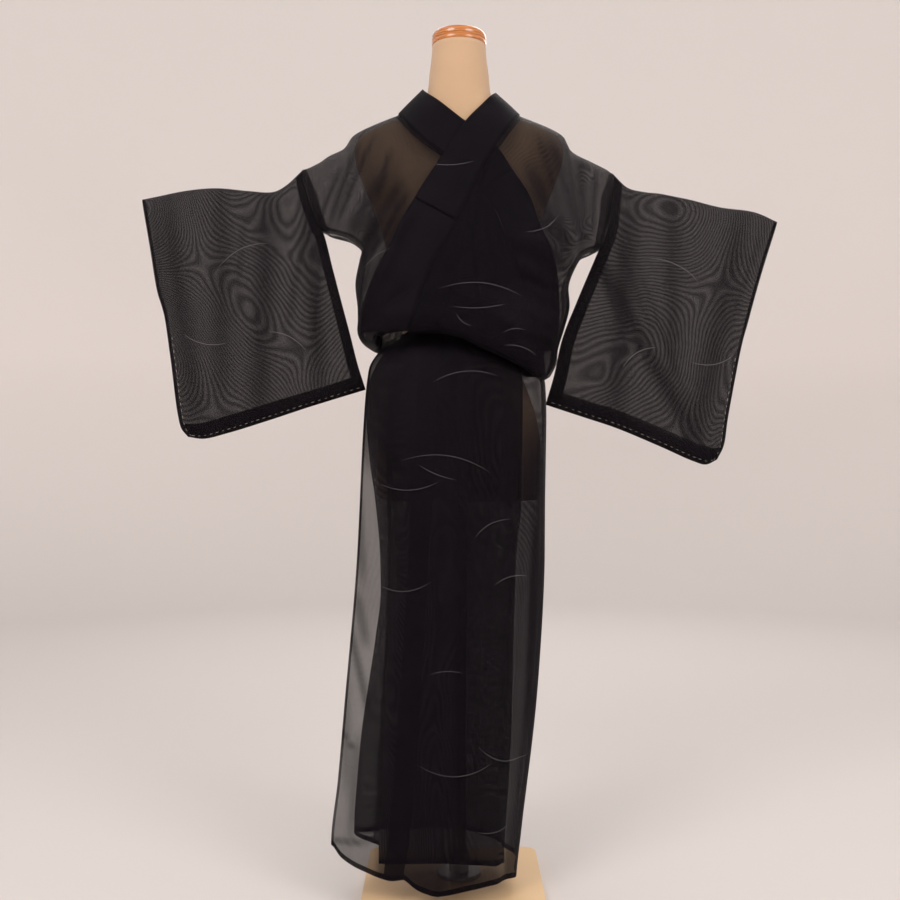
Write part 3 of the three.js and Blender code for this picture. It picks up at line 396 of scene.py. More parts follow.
def panel_row(left, face, u, level=None, share=None, angle=None):
    """A row of an upper body panel, from its inner edge to the side or the sleeve."""
    side = 1 if left else -1
    outline = OUTLINE_LEFT if left else OUTLINE_RIGHT
    if angle is None:
        raised = UNDER_RAISED if face < 0 and not left else 0
        x = np.full(u.shape, side * 90.0)
        for _ in range(5):
            wide = 0
            if share is None:
                z = lerp(level[0], level[1], u * u)
            else:
                z = lerp(take_up(face, x) + raised * (1 - u), level[0], share)
                wide = np.where(x > 0, tuck_at(face, x, z), 0)
            inner = panel_edge(left, z) if face < 0 else 0.0 * z
            x = panel_x(side, CHEST(z)[2], inner, outline(z) - wide, u)
    else:
        turn, front, back = angle
        lower = 1 - math.cos(math.radians(turn))

        def over(px):
            ridge, rounding = shoulder_at(px)
            return ridge - rounding * lower

        outer = float(outline(float(shoulder_at(side * BEYOND_SHOULDER)[0]) - FOLD_ROUND * lower))
        start, height = (side * back[0], back[1])
        if face < 0:
            start, height = float(panel_edge(left, np.array(float(front)))), front
        x = panel_x(side, SHOULDER_ROUNDNESS, start, outer, u)
        first = float(over(np.array(side * abs(start) + side * A_HAIR)))
        z = over(np.where(x == 0, side * A_HAIR, x)) + (height - first) * (1 - u) ** 3
    layer = 0.0
    if face < 0:
        layer = over_layer(x, z) if left else under_layer(x, z)
    depth = chest_depth(face, np.where(x == 0, side * A_HAIR, x), z, layer)
    return np.stack([x, depth, z], -1)


def inner_return(row, rise):
    """Rows that carry the cloth from the take-up fold's edge back up inside it."""
    rows = []
    for inset, lift in ((2.5, -1.5), (6, -1), (9, 4), (11, 20), (12, 0.45 * rise), (12.5, rise)):
        shrunk = row.copy()
        flat = np.linalg.norm(row[:, :2], axis=1)[:, None]
        shrunk[:, :2] = row[:, :2] * (1 - inset / flat)
        shrunk[:, 2] = row[:, 2] + lift
        rows.append(shrunk)
    return np.array(rows[::-1])


def upper_panel(left, amount):
    """A body panel from the take-up fold in front, over the shoulder, to the fold behind."""
    u = np.linspace(0, 1, PANEL_SPANS + 1)
    levels = LEVELS[left]
    side = 1 if left else -1

    def half(face):
        rows = [panel_row(left, face, u, level=levels[0], share=s) for s in TAKE_UP_SHARES]
        rows += [panel_row(left, face, u, level=level) for level in levels]
        rows += [panel_row(left, face, u, angle=angle) for angle in OVER_SHOULDER]
        return np.array(rows)

    x = panel_x(side, SHOULDER_ROUNDNESS, side * NECK_SIDE, side * SHOULDER_END[left], u)
    ridge = np.stack([x, np.full(u.shape, float(SIDE_LINE)), shoulder_at(x)[0]], -1)
    fine = resampled(np.concatenate([half(-1), ridge[None], half(1)[::-1]]))
    front = fine[..., 1] < SIDE_LINE
    fine = np.where(front[..., None], creased(fine, -1, amount), creased(fine, 1, amount))
    ends = [inner_return(fine[end], PANEL_RETURN) for end in (0, -1)]
    return np.concatenate([ends[0], fine, ends[1][::-1]])


def upper_gore(outer_edge, seam, point, layer, raised, amount):
    """The slanted overlap panel of an upper front, from its point down to the fold."""
    u = np.linspace(0, 1, GORE_POINTS)
    rows = []
    for share in np.linspace(0, 1, GORE_ROWS):
        x = np.zeros(u.shape)
        for _ in range(5):
            z = lerp(point, TAKE_UP_FRONT(x) + raised, share)
            x = lerp(outer_edge(z), seam(z), u)
        rows.append(np.stack([x, chest_depth(-1, x, z, layer(x, z)), z], -1))
    grid = creased(np.array(rows)[::-1], -1, amount)
    return np.concatenate([inner_return(grid[0], GORE_RETURN), grid])


def collar_grid(span, amount):
    """The collar, from the fold on the over front, round the neck, to the under front.

    The second result is the distance to each row of its tables.
    """
    u = np.linspace(*span, COLLAR_SPANS + 1)

    def row(edge, layer, face):
        x, z = lerp(edge[0], edge[2], u), lerp(edge[1], edge[3], u)
        if len(edge) < 5:
            y = chest_depth(face, np.where(x == 0, A_HAIR, x), z, layer(x, z))
        else:
            outer = chest_depth(face, edge[0] + A_HAIR, edge[1], layer(edge[0], edge[1]))
            y = lerp(outer, edge[4], u) + face * COLLAR_ROLL * np.sin(math.pi * u)
        return np.stack([x, y, z], -1)

    over = [row(NECK_SIDE_LEFT, over_layer, 0)]
    over += [row(r, over_layer, -1) for r in OVER_COLLAR]
    under = [row(NECK_SIDE_RIGHT, under_layer, 0)]
    under += [row(r, under_layer, -1) for r in UNDER_COLLAR]
    back = [row(r, no_layer, 1) for r in NECK_BACK]
    mirrored = [row((-r[0], r[1], -r[2], r[3], r[4]), no_layer, 1) for r in NECK_BACK[:-1]]
    coarse = np.array([*over[::-1], *back, *mirrored[::-1], *under])
    fine = resampled(coarse)
    front = (fine[..., 1] < SIDE_LINE) & (fine[..., 2] < COLLAR_FOLDED_BELOW)
    return np.where(front[..., None], creased(fine, -1, amount), fine), cloth_lengths(coarse)[1]


# Lower stretch, wrapped round the hips: half widths right and left, depths front and back, and
# how far forward the middle of the wrap lies.
WRAP = table(
    (20, 200, 106, 116, 104, 27), (130, 198, 117, 118, 106, 25), (205, 193, 127, 121, 108, 22),
    (293, 185, 139, 123, 111, 19), (370, 174, 148, 125, 113, 16), (478, 158, 157, 126, 116, 13),
    (561, 149, 162, 127, 118, 11), (618, 150, 164, 127, 119, 10), (734, 160, 165, 127, 121, 8),
    (811, 171, 166, 127, 122, 6), (895, 177, 167, 126, 120, 4), (955, 173, 165, 122, 116, 2),
    (990, 160, 150, 115, 110, 0), (1018, 141, 130, 104, 103, 0),
    (SKIRT_TOP, 110.4, 110.4, 88.6, 88.6, 0),
)
WRAP_ROUNDNESS = 2.2
SKIRT_SHARES = [
    0, 0.03, 0.06, 0.09, 0.125, 0.17, 0.23, 0.3, 0.38, 0.46, 0.54, 0.62, 0.7, 0.78, 0.86, 0.93, 1,
]
LOWER_FOLDS = table(
    (-180, 0), (-168, 5), (-156, -3), (-140, 4), (-122, -3), (-104, 3), (-84, 0), (-60, -2),
    (-40, 2), (0, 0), (30, 3), (46, -3), (64, 3), (82, -2), (100, 3), (120, -4), (142, 4),
    (160, -2), (172, 4), (180, 0),
)
# Finer folds of the lower stretch: turn at the top, turn at the hem, width in degrees, depth,
# and the share of the length at which each one starts and ends.
SKIRT_CREASES = [
    (-18, -12, 2.2, 1.6, 0.05, 0.7), (6, 2, 2.6, -1.5, 0.08, 0.8), (24, 17, 2.4, 2.0, 0.04, 0.6),
    (40, 33, 2.8, -2.2, 0.06, 0.9), (57, 53, 2.4, 1.8, 0.1, 1.2), (74, 71, 3, -2, 0.05, 0.8),
    (-50, -46, 3, 1.6, 0.1, 0.9), (-92, -98, 3, -2.2, 0.05, 1.1),
    (-112, -118, 3, 2.2, 0.04, 0.8),
    (-134, -140, 3, -2.4, 0.05, 1.2), (-152, -156, 2.6, 2, 0.05, 0.7),
    (112, 109, 3, 2.2, 0.04, 1.1), (132, 135, 3, -2.2, 0.06, 0.8), (150, 154, 3, 2.2, 0.05, 1.2),
    (166, 168, 2.4, -1.6, 0.05, 0.9),
]
# How strongly the skirt's creases darken the gauze, as painted shade.
CREASE_SHADE = 0.35
# The large folds start below this height, and are whole this far below it.
FOLDS_BELOW = 980
FOLDS_RUN = 500


def creases_at(turn, z, narrowed=1.0):
    """For each crease of the skirt: its depth, how much of it is reached, and its line."""
    drop = np.clip((SKIRT_TOP - z) / SKIRT_LENGTH, 0, 1)
    for top, hem, wide, far, start, end in SKIRT_CREASES:
        run = ramp(drop, start, start + 0.25) * (1 - ramp(drop, end - 0.25, end))
        yield far, run, np.exp(-(((turn - lerp(top, hem, drop)) / (wide * narrowed)) ** 2))


def wrap_point(turn, z, outward, amount):
    """The skirt's surface at a turn in degrees from the front, and a height."""
    right, left, front, back, forward = WRAP(z)
    angle = np.radians(turn)
    power = 2 / WRAP_ROUNDNESS
    fold = LOWER_FOLDS(turn) * ramp(FOLDS_BELOW - z, 0, FOLDS_RUN) + outward
    for far, run, line in creases_at(turn, z):
        fold = fold + far * amount * run * line
    half_width = np.where(turn < 0, right, left) + fold
    depth = np.where(np.abs(turn) < 90, front, back) + fold
    x = half_width * np.sign(np.sin(angle)) * np.abs(np.sin(angle)) ** power
    y = -depth * np.sign(np.cos(angle)) * np.abs(np.cos(angle)) ** power
    return np.stack([x, y - forward, z + 0 * x], -1)


def wrap_turn(x, z):
    """The turn at which the skirt reaches x."""
    right, left, *_ = WRAP(z)
    share = np.clip(np.abs(x) / np.where(x < 0, right, left), 0, 1)
    return np.sign(x) * np.degrees(np.arcsin(share ** (WRAP_ROUNDNESS / 2)))


RIGHT_SIDE_SEAM = table((90, -146), (238, -139), (627, -128), (996, -112), (SKIRT_TOP, -78))
UNDER_GORE_SEAM = table(
    (90, 33), (198, 33), (595, 42), (740, 62), (812, 74), (957, 79), (SKIRT_TOP, 50)
)
UNDER_FREE_EDGE = table(
    (90, 84), (241, 92), (628, 104), (738, 114), (959, 116), (SKIRT_TOP, 78)
)
OVER_GORE_SEAM = table(
    (62, -96), (132, -86), (239, -77), (579, -57), (862, -42), (955, -39), (SKIRT_TOP, -30)
)
OVER_FREE_EDGE = table(
    (108, -235, -100), (225, -223, -96), (369, -211, -88), (626, -190, -76), (886, -178, -64),
    (979, -169, -62), (1013, -150, -60), (SKIRT_TOP, -100, -56),
)
LEFT_SIDE_TURN = 97
HEM_OVER = table(
    (-235, 108), (-216, 91), (-190, 79), (-166, 71), (-143, 63), (-121, 58), (-96, 60), (-84, 50),
    (-71, 42), (-53, 36), (-41, 33), (-21, 36), (19, 45), (55, 50), (83, 49), (106, 43),
)
HEM_UNDER = table((-162, 78), (-93, 86), (-35, 90), (37, 86), (79, 78))
HEM_BACK = table(
    (-180, 74), (-120, 86), (-80, 108), (-50, 112), (97, 52), (130, 56), (180, 70)
)
FLAP_BEND = 2.6
# The under front's spare width, folded in below the over front, counts as further layers.
SPARE_LAYERS = 1.3
# Creases of the loose overlap panel, as in BODY_FOLDS.
FLAP_CREASES = [
    (-202, 500, -163, 353, 7, 3.2), (-188, 560, -170, 480, 9, 2.4),
    (-222, 318, -190, 284, 4, 3.0),
    (-233, 118, -168, 126, 5, 3.0), (-214, 420, -204, 220, 12, 1.8),
    (-184, 300, -196, 140, 9, 2.2), (-190, 760, -178, 600, 9, 2.4),
]


def crease_shade_in(grid):
    """Painted crease shade: how much denser the threads are drawn in the creases of a lower piece,
    which darkens them.
    """
    forward = WRAP(grid[..., 2])[4]
    turn = np.degrees(np.arctan2(grid[..., 0], -(grid[..., 1] + forward)))
    dense = np.zeros(grid.shape[:2])
    for far, run, line in creases_at(turn, grid[..., 2], 0.7):
        dense = dense + CREASE_SHADE * abs(far) / 2 * run * line
    return dense


def skirt_rows(count=120):
    places = np.linspace(0, len(SKIRT_SHARES) - 1, count)
    return np.interp(places, range(len(SKIRT_SHARES)), SKIRT_SHARES)


def lower_piece(columns, start, end, outward, hem, amount):
    """A lower piece between two turns, from the skirt's top to its hem."""
    u = np.linspace(0, 1, columns + 1)
    rows = []
    for share in skirt_rows():
        z = np.full(u.shape, lerp(SKIRT_TOP, HEM_GUESS, share))
        for _ in range(4):
            turn = lerp(start(z), end(z), u)
            z = lerp(SKIRT_TOP, hem(wrap_point(turn, z, 0, 0)[:, 0], turn), share)
        rows.append(wrap_point(turn, z, outward(turn), amount))
    return np.array(rows)


def over_flap(amount, columns=30):
    """The over front's overlap panel, which leaves the wrap towards its free edge."""
    u = np.linspace(0, 1, columns + 1)
    rows = []
    for share in skirt_rows():
        z = np.full(u.shape, lerp(SKIRT_TOP, HEM_GUESS, share))
        for _ in range(4):
            seam = wrap_point(wrap_turn(OVER_GORE_SEAM(z), z), z, LAYER, amount)
            edge_x, edge_y = OVER_FREE_EDGE(z)
            x = lerp(edge_x, seam[:, 0], u)
            y = seam[:, 1] + (edge_y - seam[:, 1]) * (1 - u) ** FLAP_BEND
            z = lerp(SKIRT_TOP, HEM_OVER(x), share)
        ripple = 3.2 * amount * np.sin(math.pi * u) * math.sin(2.2 * math.pi * share + 0.4)
        rows.append(np.stack([x, y - ripple * (share > 0.1), z], -1))
    return np.array(rows)


# Each sleeve's four edges as seen from the front, and how far back its cuff is swept.
SLEEVES = {
    "right": {
        "top": [
            (-302, 1370), (-336, 1342), (-361, 1331), (-413, 1337), (-476, 1347), (-539, 1346),
            (-602, 1338), (-637, 1334),
        ],
        "cuff": [
            (-637, 1334), (-619, 1238), (-603, 1149), (-591, 1110), (-575, 1010), (-560, 901),
            (-552, 872), (-538, 856),
        ],
        "bottom": [(-180, 946), (-272, 918), (-378, 885), (-455, 863), (-505, 852), (-538, 856)],
        "inner": [
            (-302, 1370), (-300, 1356), (-289, 1311), (-270, 1263), (-262, 1249), (-244, 1180),
            (-228, 1119), (-211, 1055), (-195, 992), (-180, 946),
        ],
        "sweep": 90,
    },
    "left": {
        "top": [
            (298, 1362), (327, 1338), (360, 1332), (395, 1331), (451, 1324), (520, 1312),
            (596, 1306), (643, 1290),
        ],
        "cuff": [
            (643, 1290), (609, 1189), (582, 1099), (564, 1032), (554, 985), (536, 893),
            (527, 838), (513, 811),
        ],
        "bottom": [
            (167, 917), (240, 893), (312, 869), (395, 836), (462, 808), (490, 801),
            (513, 811),
        ],
        "inner": [
            (298, 1362), (298, 1356), (293, 1301), (285, 1253), (270, 1216), (229, 1119),
            (200, 1045), (183, 970), (167, 917),
        ],
        "sweep": 95,
    },
}
CUFF_OPENING = 0.47
SLEEVE_EDGE = 0.08
SLEEVE_FOLDS = [
    (262, 1205, 470, 845, 26, -9), (330, 1290, 300, 900, 34, 7), (560, 1270, 470, 870, 36, 6),
    (420, 1310, 420, 1000, 26, -5), (-290, 1290, -270, 960, 26, -7),
    (-370, 1320, -390, 920, 34, 7), (-470, 1330, -470, 960, 30, -5),
    (-580, 1300, -520, 900, 34, 6), (300, 1240, 380, 1060, 10, -4),
    (276, 1180, 330, 1020, 9, 4), (610, 1270, 540, 1080, 12, 3), (350, 1180, 450, 930, 10, 3),
    (-300, 1250, -330, 1080, 10, -4), (-268, 1200, -280, 1060, 9, 4),
    (-610, 1300, -590, 1120, 12, 3), (-420, 1280, -440, 1080, 12, 3),
]


def curve(points):
    """A smooth curve through corner points, read by its share of length."""
    corners = np.array(points, float)
    t = added_up(np.sqrt(np.linalg.norm(np.diff(corners, axis=0), axis=1)))
    path = smooth(corners, t, np.linspace(0, t[-1], 400))
    run = added_up(np.linalg.norm(np.diff(path, axis=0), axis=1))
    run /= run[-1]
    return lambda share: np.stack([np.interp(share, run, path[:, way]) for way in (0, 1)], -1)


def sweep_at(sleeve, x):
    start = abs(sleeve["top"][0][0]) - 10
    end = abs(sleeve["top"][-1][0])
    return SIDE_LINE + sleeve["sweep"] * (np.maximum(np.abs(x), start) - start) / (end - start)


def sleeve_grid(sleeve, face, amount, rows=84, columns=60):
    """One face of a sleeve, from the fold at its top to the seam at its bottom."""
    u = np.linspace(0, 1, columns + 1)[None, :]
    ends = 0.5 - 0.5 * np.cos(math.pi * np.linspace(0, 1, rows + 1))
    v = (0.65 * np.linspace(0, 1, rows + 1) + 0.35 * ends)[:, None]
    top, bottom, cuff, inner = (curve(sleeve[k]) for k in ("top", "bottom", "cuff", "inner"))
    uu, vv = u[..., None], v[..., None]
    flat = (
        top(u[0])[None] * (1 - vv)
        + bottom(u[0])[None] * vv
        + inner(v[:, 0])[:, None] * (1 - uu)
        + cuff(v[:, 0])[:, None] * uu
        - top(0.0) * (1 - uu) * (1 - vv)
        - top(1.0) * uu * (1 - vv)
        - bottom(0.0) * (1 - uu) * vv
        - bottom(1.0) * uu * vv
    )
    x, z = flat[..., 0], flat[..., 1]
    drop = np.where(u == 0, (sleeve["inner"][0][1] - z) / FOLD_ROUND, v / SLEEVE_EDGE)
    closed = ramp(v, CUFF_OPENING - 0.04, CUFF_OPENING + 0.04)
    at_cuff = lerp(0.55 + 0.45 * arch((1 - u) / 0.3), arch((1 - u) / SLEEVE_EDGE), closed)
    hollow = SLEEVE_DEPTH * arch(drop) * arch((1 - v) / SLEEVE_EDGE) * at_cuff
    folds = folds_at(SLEEVE_FOLDS, x, z) * ramp(u, 0, 0.25) * amount
    y = sweep_at(sleeve, x) - folds + face * (CLOTH_GAP + hollow)
    return np.stack([x, y, z], -1)


# The dress form: height, half width and half depth of the torso, and the cap's profile.
FORM_ROWS = [
    (735, 148, 100), (746, 157, 107), (820, 158, 110), (880, 151, 108), (950, 129, 95),
    (1010, 106, 86), (1060, 110, 88), (1150, 128, 100), (1230, 143, 111), (1300, 168, 104),
    (1350, 188, 92), (1385, 199, 80), (1405, 201, 72), (1422, 196, 66), (1434, 186, 62),
    (1443, 169, 59), (1452, 147, 57), (1461, 122, 55), (1470, 101, 54), (1482, 83, 53),
    (1496, 69, 53), (1515, 60.5, 54), (1550, 57, 54), (1605, 51.5, 51.5),
]
FORM = table(*FORM_ROWS)
CAP_PROFILE = [
    (20, 1605.3), (50.5, 1605.3), (51.6, 1605.8), (52, 1607), (52, 1612), (51.4, 1612.8),
    (51.4, 1613.4), (52, 1614.2), (52, 1621), (51.5, 1624), (50, 1627), (47.5, 1629.2),
    (44, 1630.6), (36, 1631.6), (20, 1632.2), (1, 1632.3),
]

# Meshes

ALL = (-1.0, 1e6)
# How far inside the cloth its further layers lie, in millimetres.
ALLOWANCE = 0.8
EDGE_FOLDS = (1.6, 2.2)
HEM_FOLDS = (0.7, 1.4)
laid_cloth = []
sleeve_cloth = {}


def placed(name, mesh):
    """Puts a mesh into the scene as a piece that rides on the part."""
    piece = bpy.data.objects.new(name, mesh)
    bpy.context.scene.collection.objects.link(piece)
    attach(piece, "root")
    return piece


def shaped(name, co, faces, material, uv=None):
    """A smooth mesh from points, and from a place on the cloth for each, in millimetres."""
    mesh = bpy.data.meshes.new(name)
    mesh.from_pydata((np.asarray(co) * MM).tolist(), [], faces)
    if uv is not None:
        layer = mesh.uv_layers.new(name="cloth")
        corners = np.asarray(uv)[np.ravel(faces)] * MM
        layer.data.foreach_set("uv", corners.astype(np.float32).reshape(-1))
    mesh.shade_smooth()
    mesh.materials.append(material)
    return mesh


def grid_quads(high, wide, inwards):
    """Faces over a grid of points that are numbered row by row."""
    index = np.arange(high * wide).reshape(high, wide)
    quads = np.stack([index[:-1, :-1], index[:-1, 1:], index[1:, 1:], index[1:, :-1]], -1)
    return quads.reshape(-1, 4)[:, :: -1 if inwards else 1]


def cloth_mesh(name, grid, bands, drift, layers_and_fold_shade, middle=None):
    """A sheet of gauze from a grid of points in millimetres, with its UV in metres.

    bands are (along from, along to, across from, across to, depth) runs of a further layer, such
    as a seam allowance, laid inside the sheet. drift shifts the weave a few millimetres over the
    piece, as hanging cloth does. The last argument is how much denser the threads are at each
    point: for real further layers, and as painted shade along the folds.
    """
    across, along = cloth_lengths(grid)
    if middle is None:
        middle = [0, 0, grid[..., 2].mean()]
    outward, inwards = outward_normals(grid, middle)
    crossed, slanted, phase = drift
    points, uvs, faces, dense = [], [], [], []
    for low, high, near, far, depth in [(*ALL, *ALL, 0), *bands]:
        rows = np.flatnonzero((along >= low) & (along <= high))
        cols = np.flatnonzero((across >= near) & (across <= far))
        part = np.ix_(rows, cols)
        uu, vv = np.meshgrid(across[cols], along[rows])
        wave = (
            crossed * np.sin(uu / 61 + 1.7 * phase) * np.sin(vv / 83 + 0.9 * phase)
            + slanted * np.sin(uu / 143 - vv / 117 + 2.3 * phase)
        )
        faces.append(sum(map(len, points)) + grid_quads(len(rows), len(cols), inwards))
        points.append((grid[part] - outward[part] * depth).reshape(-1, 3))
        uvs.append(np.stack([uu, vv + wave + (1.0 if depth else 0.0)], -1).reshape(-1, 2))
        dense.append(layers_and_fold_shade[part].reshape(-1))
    faces = np.concatenate(faces).tolist()
    mesh = shaped(name, np.concatenate(points), faces, gauze(), np.concatenate(uvs))
    layers_and_fold_shade_attribute = mesh.attributes.new("layers_and_fold_shade", "FLOAT", "POINT")
    layers_and_fold_shade_attribute.data.foreach_set("value", np.concatenate(dense).astype(np.float32))
    laid_cloth.append(placed(name, mesh))
    return laid_cloth[-1]


def folded_band(name, grid, outward, thick):
    """A band of cloth folded double: an outer and an inner face, closed all round."""
    high, wide = grid.shape[:2]
    edge = np.sin(np.linspace(0, math.pi, wide)) ** 0.25
    body = thick * (0.35 + 0.65 * edge)[None, :, None]
    uu, vv = np.meshgrid(*cloth_lengths(grid))
    uv = [np.stack([uu, vv + shift], -1).reshape(-1, 2) for shift in (0, 1.1)]
    inwards = outward_normals(grid)[1]
    front = grid_quads(high, wide, inwards)
    index = np.arange(high * wide).reshape(high, wide)
    ring = np.concatenate([index[0, :], index[1:, -1], index[-1, -2::-1], index[-2:0:-1, 0]])
    after = np.roll(ring, -1)
    rim = np.stack([ring, ring + high * wide, after + high * wide, after], -1)
    faces = np.concatenate([front, front[:, ::-1] + high * wide, rim[:, :: -1 if inwards else 1]])
    co = np.concatenate([grid.reshape(-1, 3), (grid - outward * body).reshape(-1, 3)])
    mesh = shaped(name, co, faces.tolist(), gauze(COLLAR_LAYERS), np.concatenate(uv))
    laid_cloth.append(placed(name, mesh))
    return laid_cloth[-1]


def rings_of(wide, deep, heights, count=96):
    """Rings of points round the upright axis, one at each height."""
    turn = np.linspace(0, 2 * math.pi, count, endpoint=False)
    level = np.ones(count)
    return np.stack(
        [np.outer(wide, np.cos(turn)), np.outer(deep, np.sin(turn)), np.outer(heights, level)], -1
    )


def ring_faces(rings):
    """Faces between each ring of points and the next."""
    high, count = rings.shape[:2]
    a = np.arange((high - 1) * count).reshape(-1, count)
    b = np.roll(a, -1, axis=1)
    return np.stack([a, b, b + count, a + count], -1).reshape(-1, 4).tolist()


def turned_piece(name, rings, material):
    """A closed body from rings of points, shut at both ends."""
    high, count = rings.shape[:2]
    last = (high - 1) * count
    ends = [tuple(range(count))[::-1], tuple(range(last, last + count))]
    faces = ring_faces(rings) + ends
    return placed(name, shaped(name, rings.reshape(-1, 3), faces, material))


# Materials


def node(tree, kind, links=(), **settings):
    """Adds a node; links give each input a value, an output, or a node for its first output."""
    added = tree.nodes.new(kind)
    for key, value in settings.items():
        setattr(added, key, value)
    for socket, value in dict(links).items():
        if isinstance(value, bpy.types.Node):
            value = value.outputs[0]
        if isinstance(value, bpy.types.NodeSocket):
            tree.links.new(value, added.inputs[socket])
        else:
            added.inputs[socket].default_value = value
    return added


def new_material(name, uv_map=None):
    """A material, its tree, and the coordinates that its patterns lie in."""
    material = bpy.data.materials.new(name)
    material.use_nodes = True
    tree = material.node_tree
    tree.nodes.clear()
    if uv_map:
        return material, tree, node(tree, "ShaderNodeUVMap", uv_map=uv_map).outputs[0]
    return material, tree, node(tree, "ShaderNodeTexCoord").outputs["Object"]


def shade(colour, share=1.0):
    return (*(c * share for c in colour), 1)


def finish(tree, pattern, dark, light, shader, relief=None):
    """Ends a material: two tones mixed by a pattern, a relief, and the shader's own values.

    relief is the pattern of its height, its strength and its depth in metres.
    """
    tones = {"Factor": pattern, 6: dark, 7: light}
    tone = node(tree, "ShaderNodeMix", tones, data_type="RGBA").outputs[2]
    given = {"Base Color": tone, **shader}
    if relief:
        bump = dict(zip(("Height", "Strength", "Distance"), relief))
        given["Normal"] = node(tree, "ShaderNodeBump", bump)
    surface = node(tree, "ShaderNodeBsdfPrincipled", given)
    node(tree, "ShaderNodeOutputMaterial", {"Surface": surface})


def silk_gauze(name, settings, layers):
    """Black sha silk gauze: groups of fine weft rows with open rows between them.

    The eye gets a dark veil, about a quarter open, whose rows beat against those of the layer
    behind as rings of moire. The real rows are about 0.5 mm apart; here they are coarser, so that
    they still beat in a render of the whole garment.
    """
    material, tree, uv = new_material(name, "cloth")
    apart = node(tree, "ShaderNodeSeparateXYZ", {0: uv}).outputs
    known = {"across": apart[0], "along": apart[1]}
    noises = (("pull", 9.0, 1.0), ("slub", 130.0, 3.0), ("mottle", 24.0, 4.0))
    for pattern, scale, detail in noises:
        links = {"Vector": uv, "Scale": scale, "Detail": detail}
        known[pattern] = node(tree, "ShaderNodeTexNoise", links, noise_dimensions="2D")
    # Denser where the mesh's attribute says so: real further layers, and painted shade along the
    # folds.
    known["layers_and_fold_shade"] = node(tree, "ShaderNodeAttribute", attribute_name="layers_and_fold_shade").outputs["Fac"]
    turns = 2 * math.pi / settings.weft_spacing
    for result, operation, *terms in (
        ("pulled", "MULTIPLY_ADD", "pull", 0.004, "along"),
        ("rows", "MULTIPLY", "pulled", turns),
        ("weft", "COSINE", "rows"),
        ("ends", "MULTIPLY", "across", turns / 0.8),
        ("warp", "COSINE", "ends"),
        ("swing", "MULTIPLY", "weft", settings.row_contrast),
        ("grid", "MULTIPLY_ADD", "warp", 0.08, "swing"),
        ("slubbed", "MULTIPLY_ADD", "slub", 0.16, -0.08),
        ("varied", "ADD", "grid", "slubbed"),
        ("share", "ADD", "varied", 1.0),
        ("openness", "MULTIPLY", "share", settings.openness),
        ("above 0", "MAXIMUM", "openness", 0.001),
        ("layers", "MULTIPLY_ADD", "layers_and_fold_shade", float(layers), float(layers)),
        ("opening", "POWER", "above 0", "layers"),
        ("covered", "SUBTRACT", 1.0, "opening"),
        ("below 1", "MINIMUM", "covered", 1.0),
        ("alpha", "MAXIMUM", "below 1", 0.0),
    ):
        links = {i: known.get(term, term) for i, term in enumerate(terms)}
        known[result] = node(tree, "ShaderNodeMath", links, operation=operation)
    finish(
        tree, known["mottle"], shade(settings.silk_dark), shade(settings.silk_light),
        {
            "Alpha": known["alpha"], "Roughness": 0.6, "IOR": 1.54, "Specular IOR Level": 0.06,
            "Sheen Weight": 0.015, "Sheen Roughness": 0.4,
        },
        (known["varied"], 0.25, 0.0004),
    )
    return material


def woven_strokes(settings):
    """Patterning weft of pale grey silk: hair-thin lines that catch a little light."""
    material, tree, place = new_material("patterning_silk")
    floats = node(tree, "ShaderNodeTexNoise", {"Vector": place, "Scale": 900.0, "Detail": 2.0})
    grey = settings.stroke_colour
    finish(
        tree, floats, shade(grey, 0.45), shade(grey),
        {"Roughness": 0.4, "IOR": 1.54, "Sheen Weight": 0.2}, (floats, 0.3, 0.0002),
    )
    return material


def basting_cotton(settings):
    """White basting cotton: soft, matt, loosely twisted thread."""
    material, tree, place = new_material("basting_cotton")
    fuzz = node(tree, "ShaderNodeTexNoise", {"Vector": place, "Scale": 1500.0, "Detail": 3.0})
    finish(
        tree, fuzz, shade(linear("#857d75")), shade(settings.basting_colour),
        {"Roughness": 0.9, "IOR": 1.5, "Sheen Weight": 0.3}, (fuzz, 0.5, 0.0002),
    )
    return material


def jersey_cover(settings):
    """Cotton jersey stretched on a padded form: matt beige with fine vertical wales.

    The wales are drawn 1.6 mm apart, coarser than the real 0.8 mm, so that they show.
    """
    material, tree, place = new_material("jersey_cover")
    apart = node(tree, "ShaderNodeSeparateXYZ", {0: place}).outputs
    wear = node(tree, "ShaderNodeTexNoise", {"Vector": place, "Scale": 14.0, "Detail": 5.0})
    known = {"x": apart[0], "y": apart[1], "z": apart[2], "wear": wear}
    for result, operation, *terms in (
        ("turn", "ARCTAN2", "y", "x"),
        ("ribs", "MULTIPLY", "turn", 500.0),
        ("wales", "SINE", "ribs"),
        ("height", "MULTIPLY", "z", 2 * math.pi / 0.0016),
        ("courses", "SINE", "height"),
        ("knit", "MULTIPLY_ADD", "courses", 0.4, "wales"),
        ("mixed", "MULTIPLY_ADD", "knit", 0.03, "wear"),
        ("off middle", "ABSOLUTE", "x"),
        ("stitched", "LESS_THAN", "off middle", 0.0007),
        ("seam", "MULTIPLY_ADD", "stitched", -4.0, "knit"),
    ):
        links = {i: known.get(term, term) for i, term in enumerate(terms)}
        known[result] = node(tree, "ShaderNodeMath", links, operation=operation)
    beige = settings.cover_colour
    finish(
        tree, known["mixed"], shade(beige, 0.82), shade(beige),
        {"Roughness": 0.85, "IOR": 1.5, "Sheen Weight": 0.25, "Sheen Roughness": 0.5},
        (known["seam"], 0.35, 0.0004),
    )
    return material


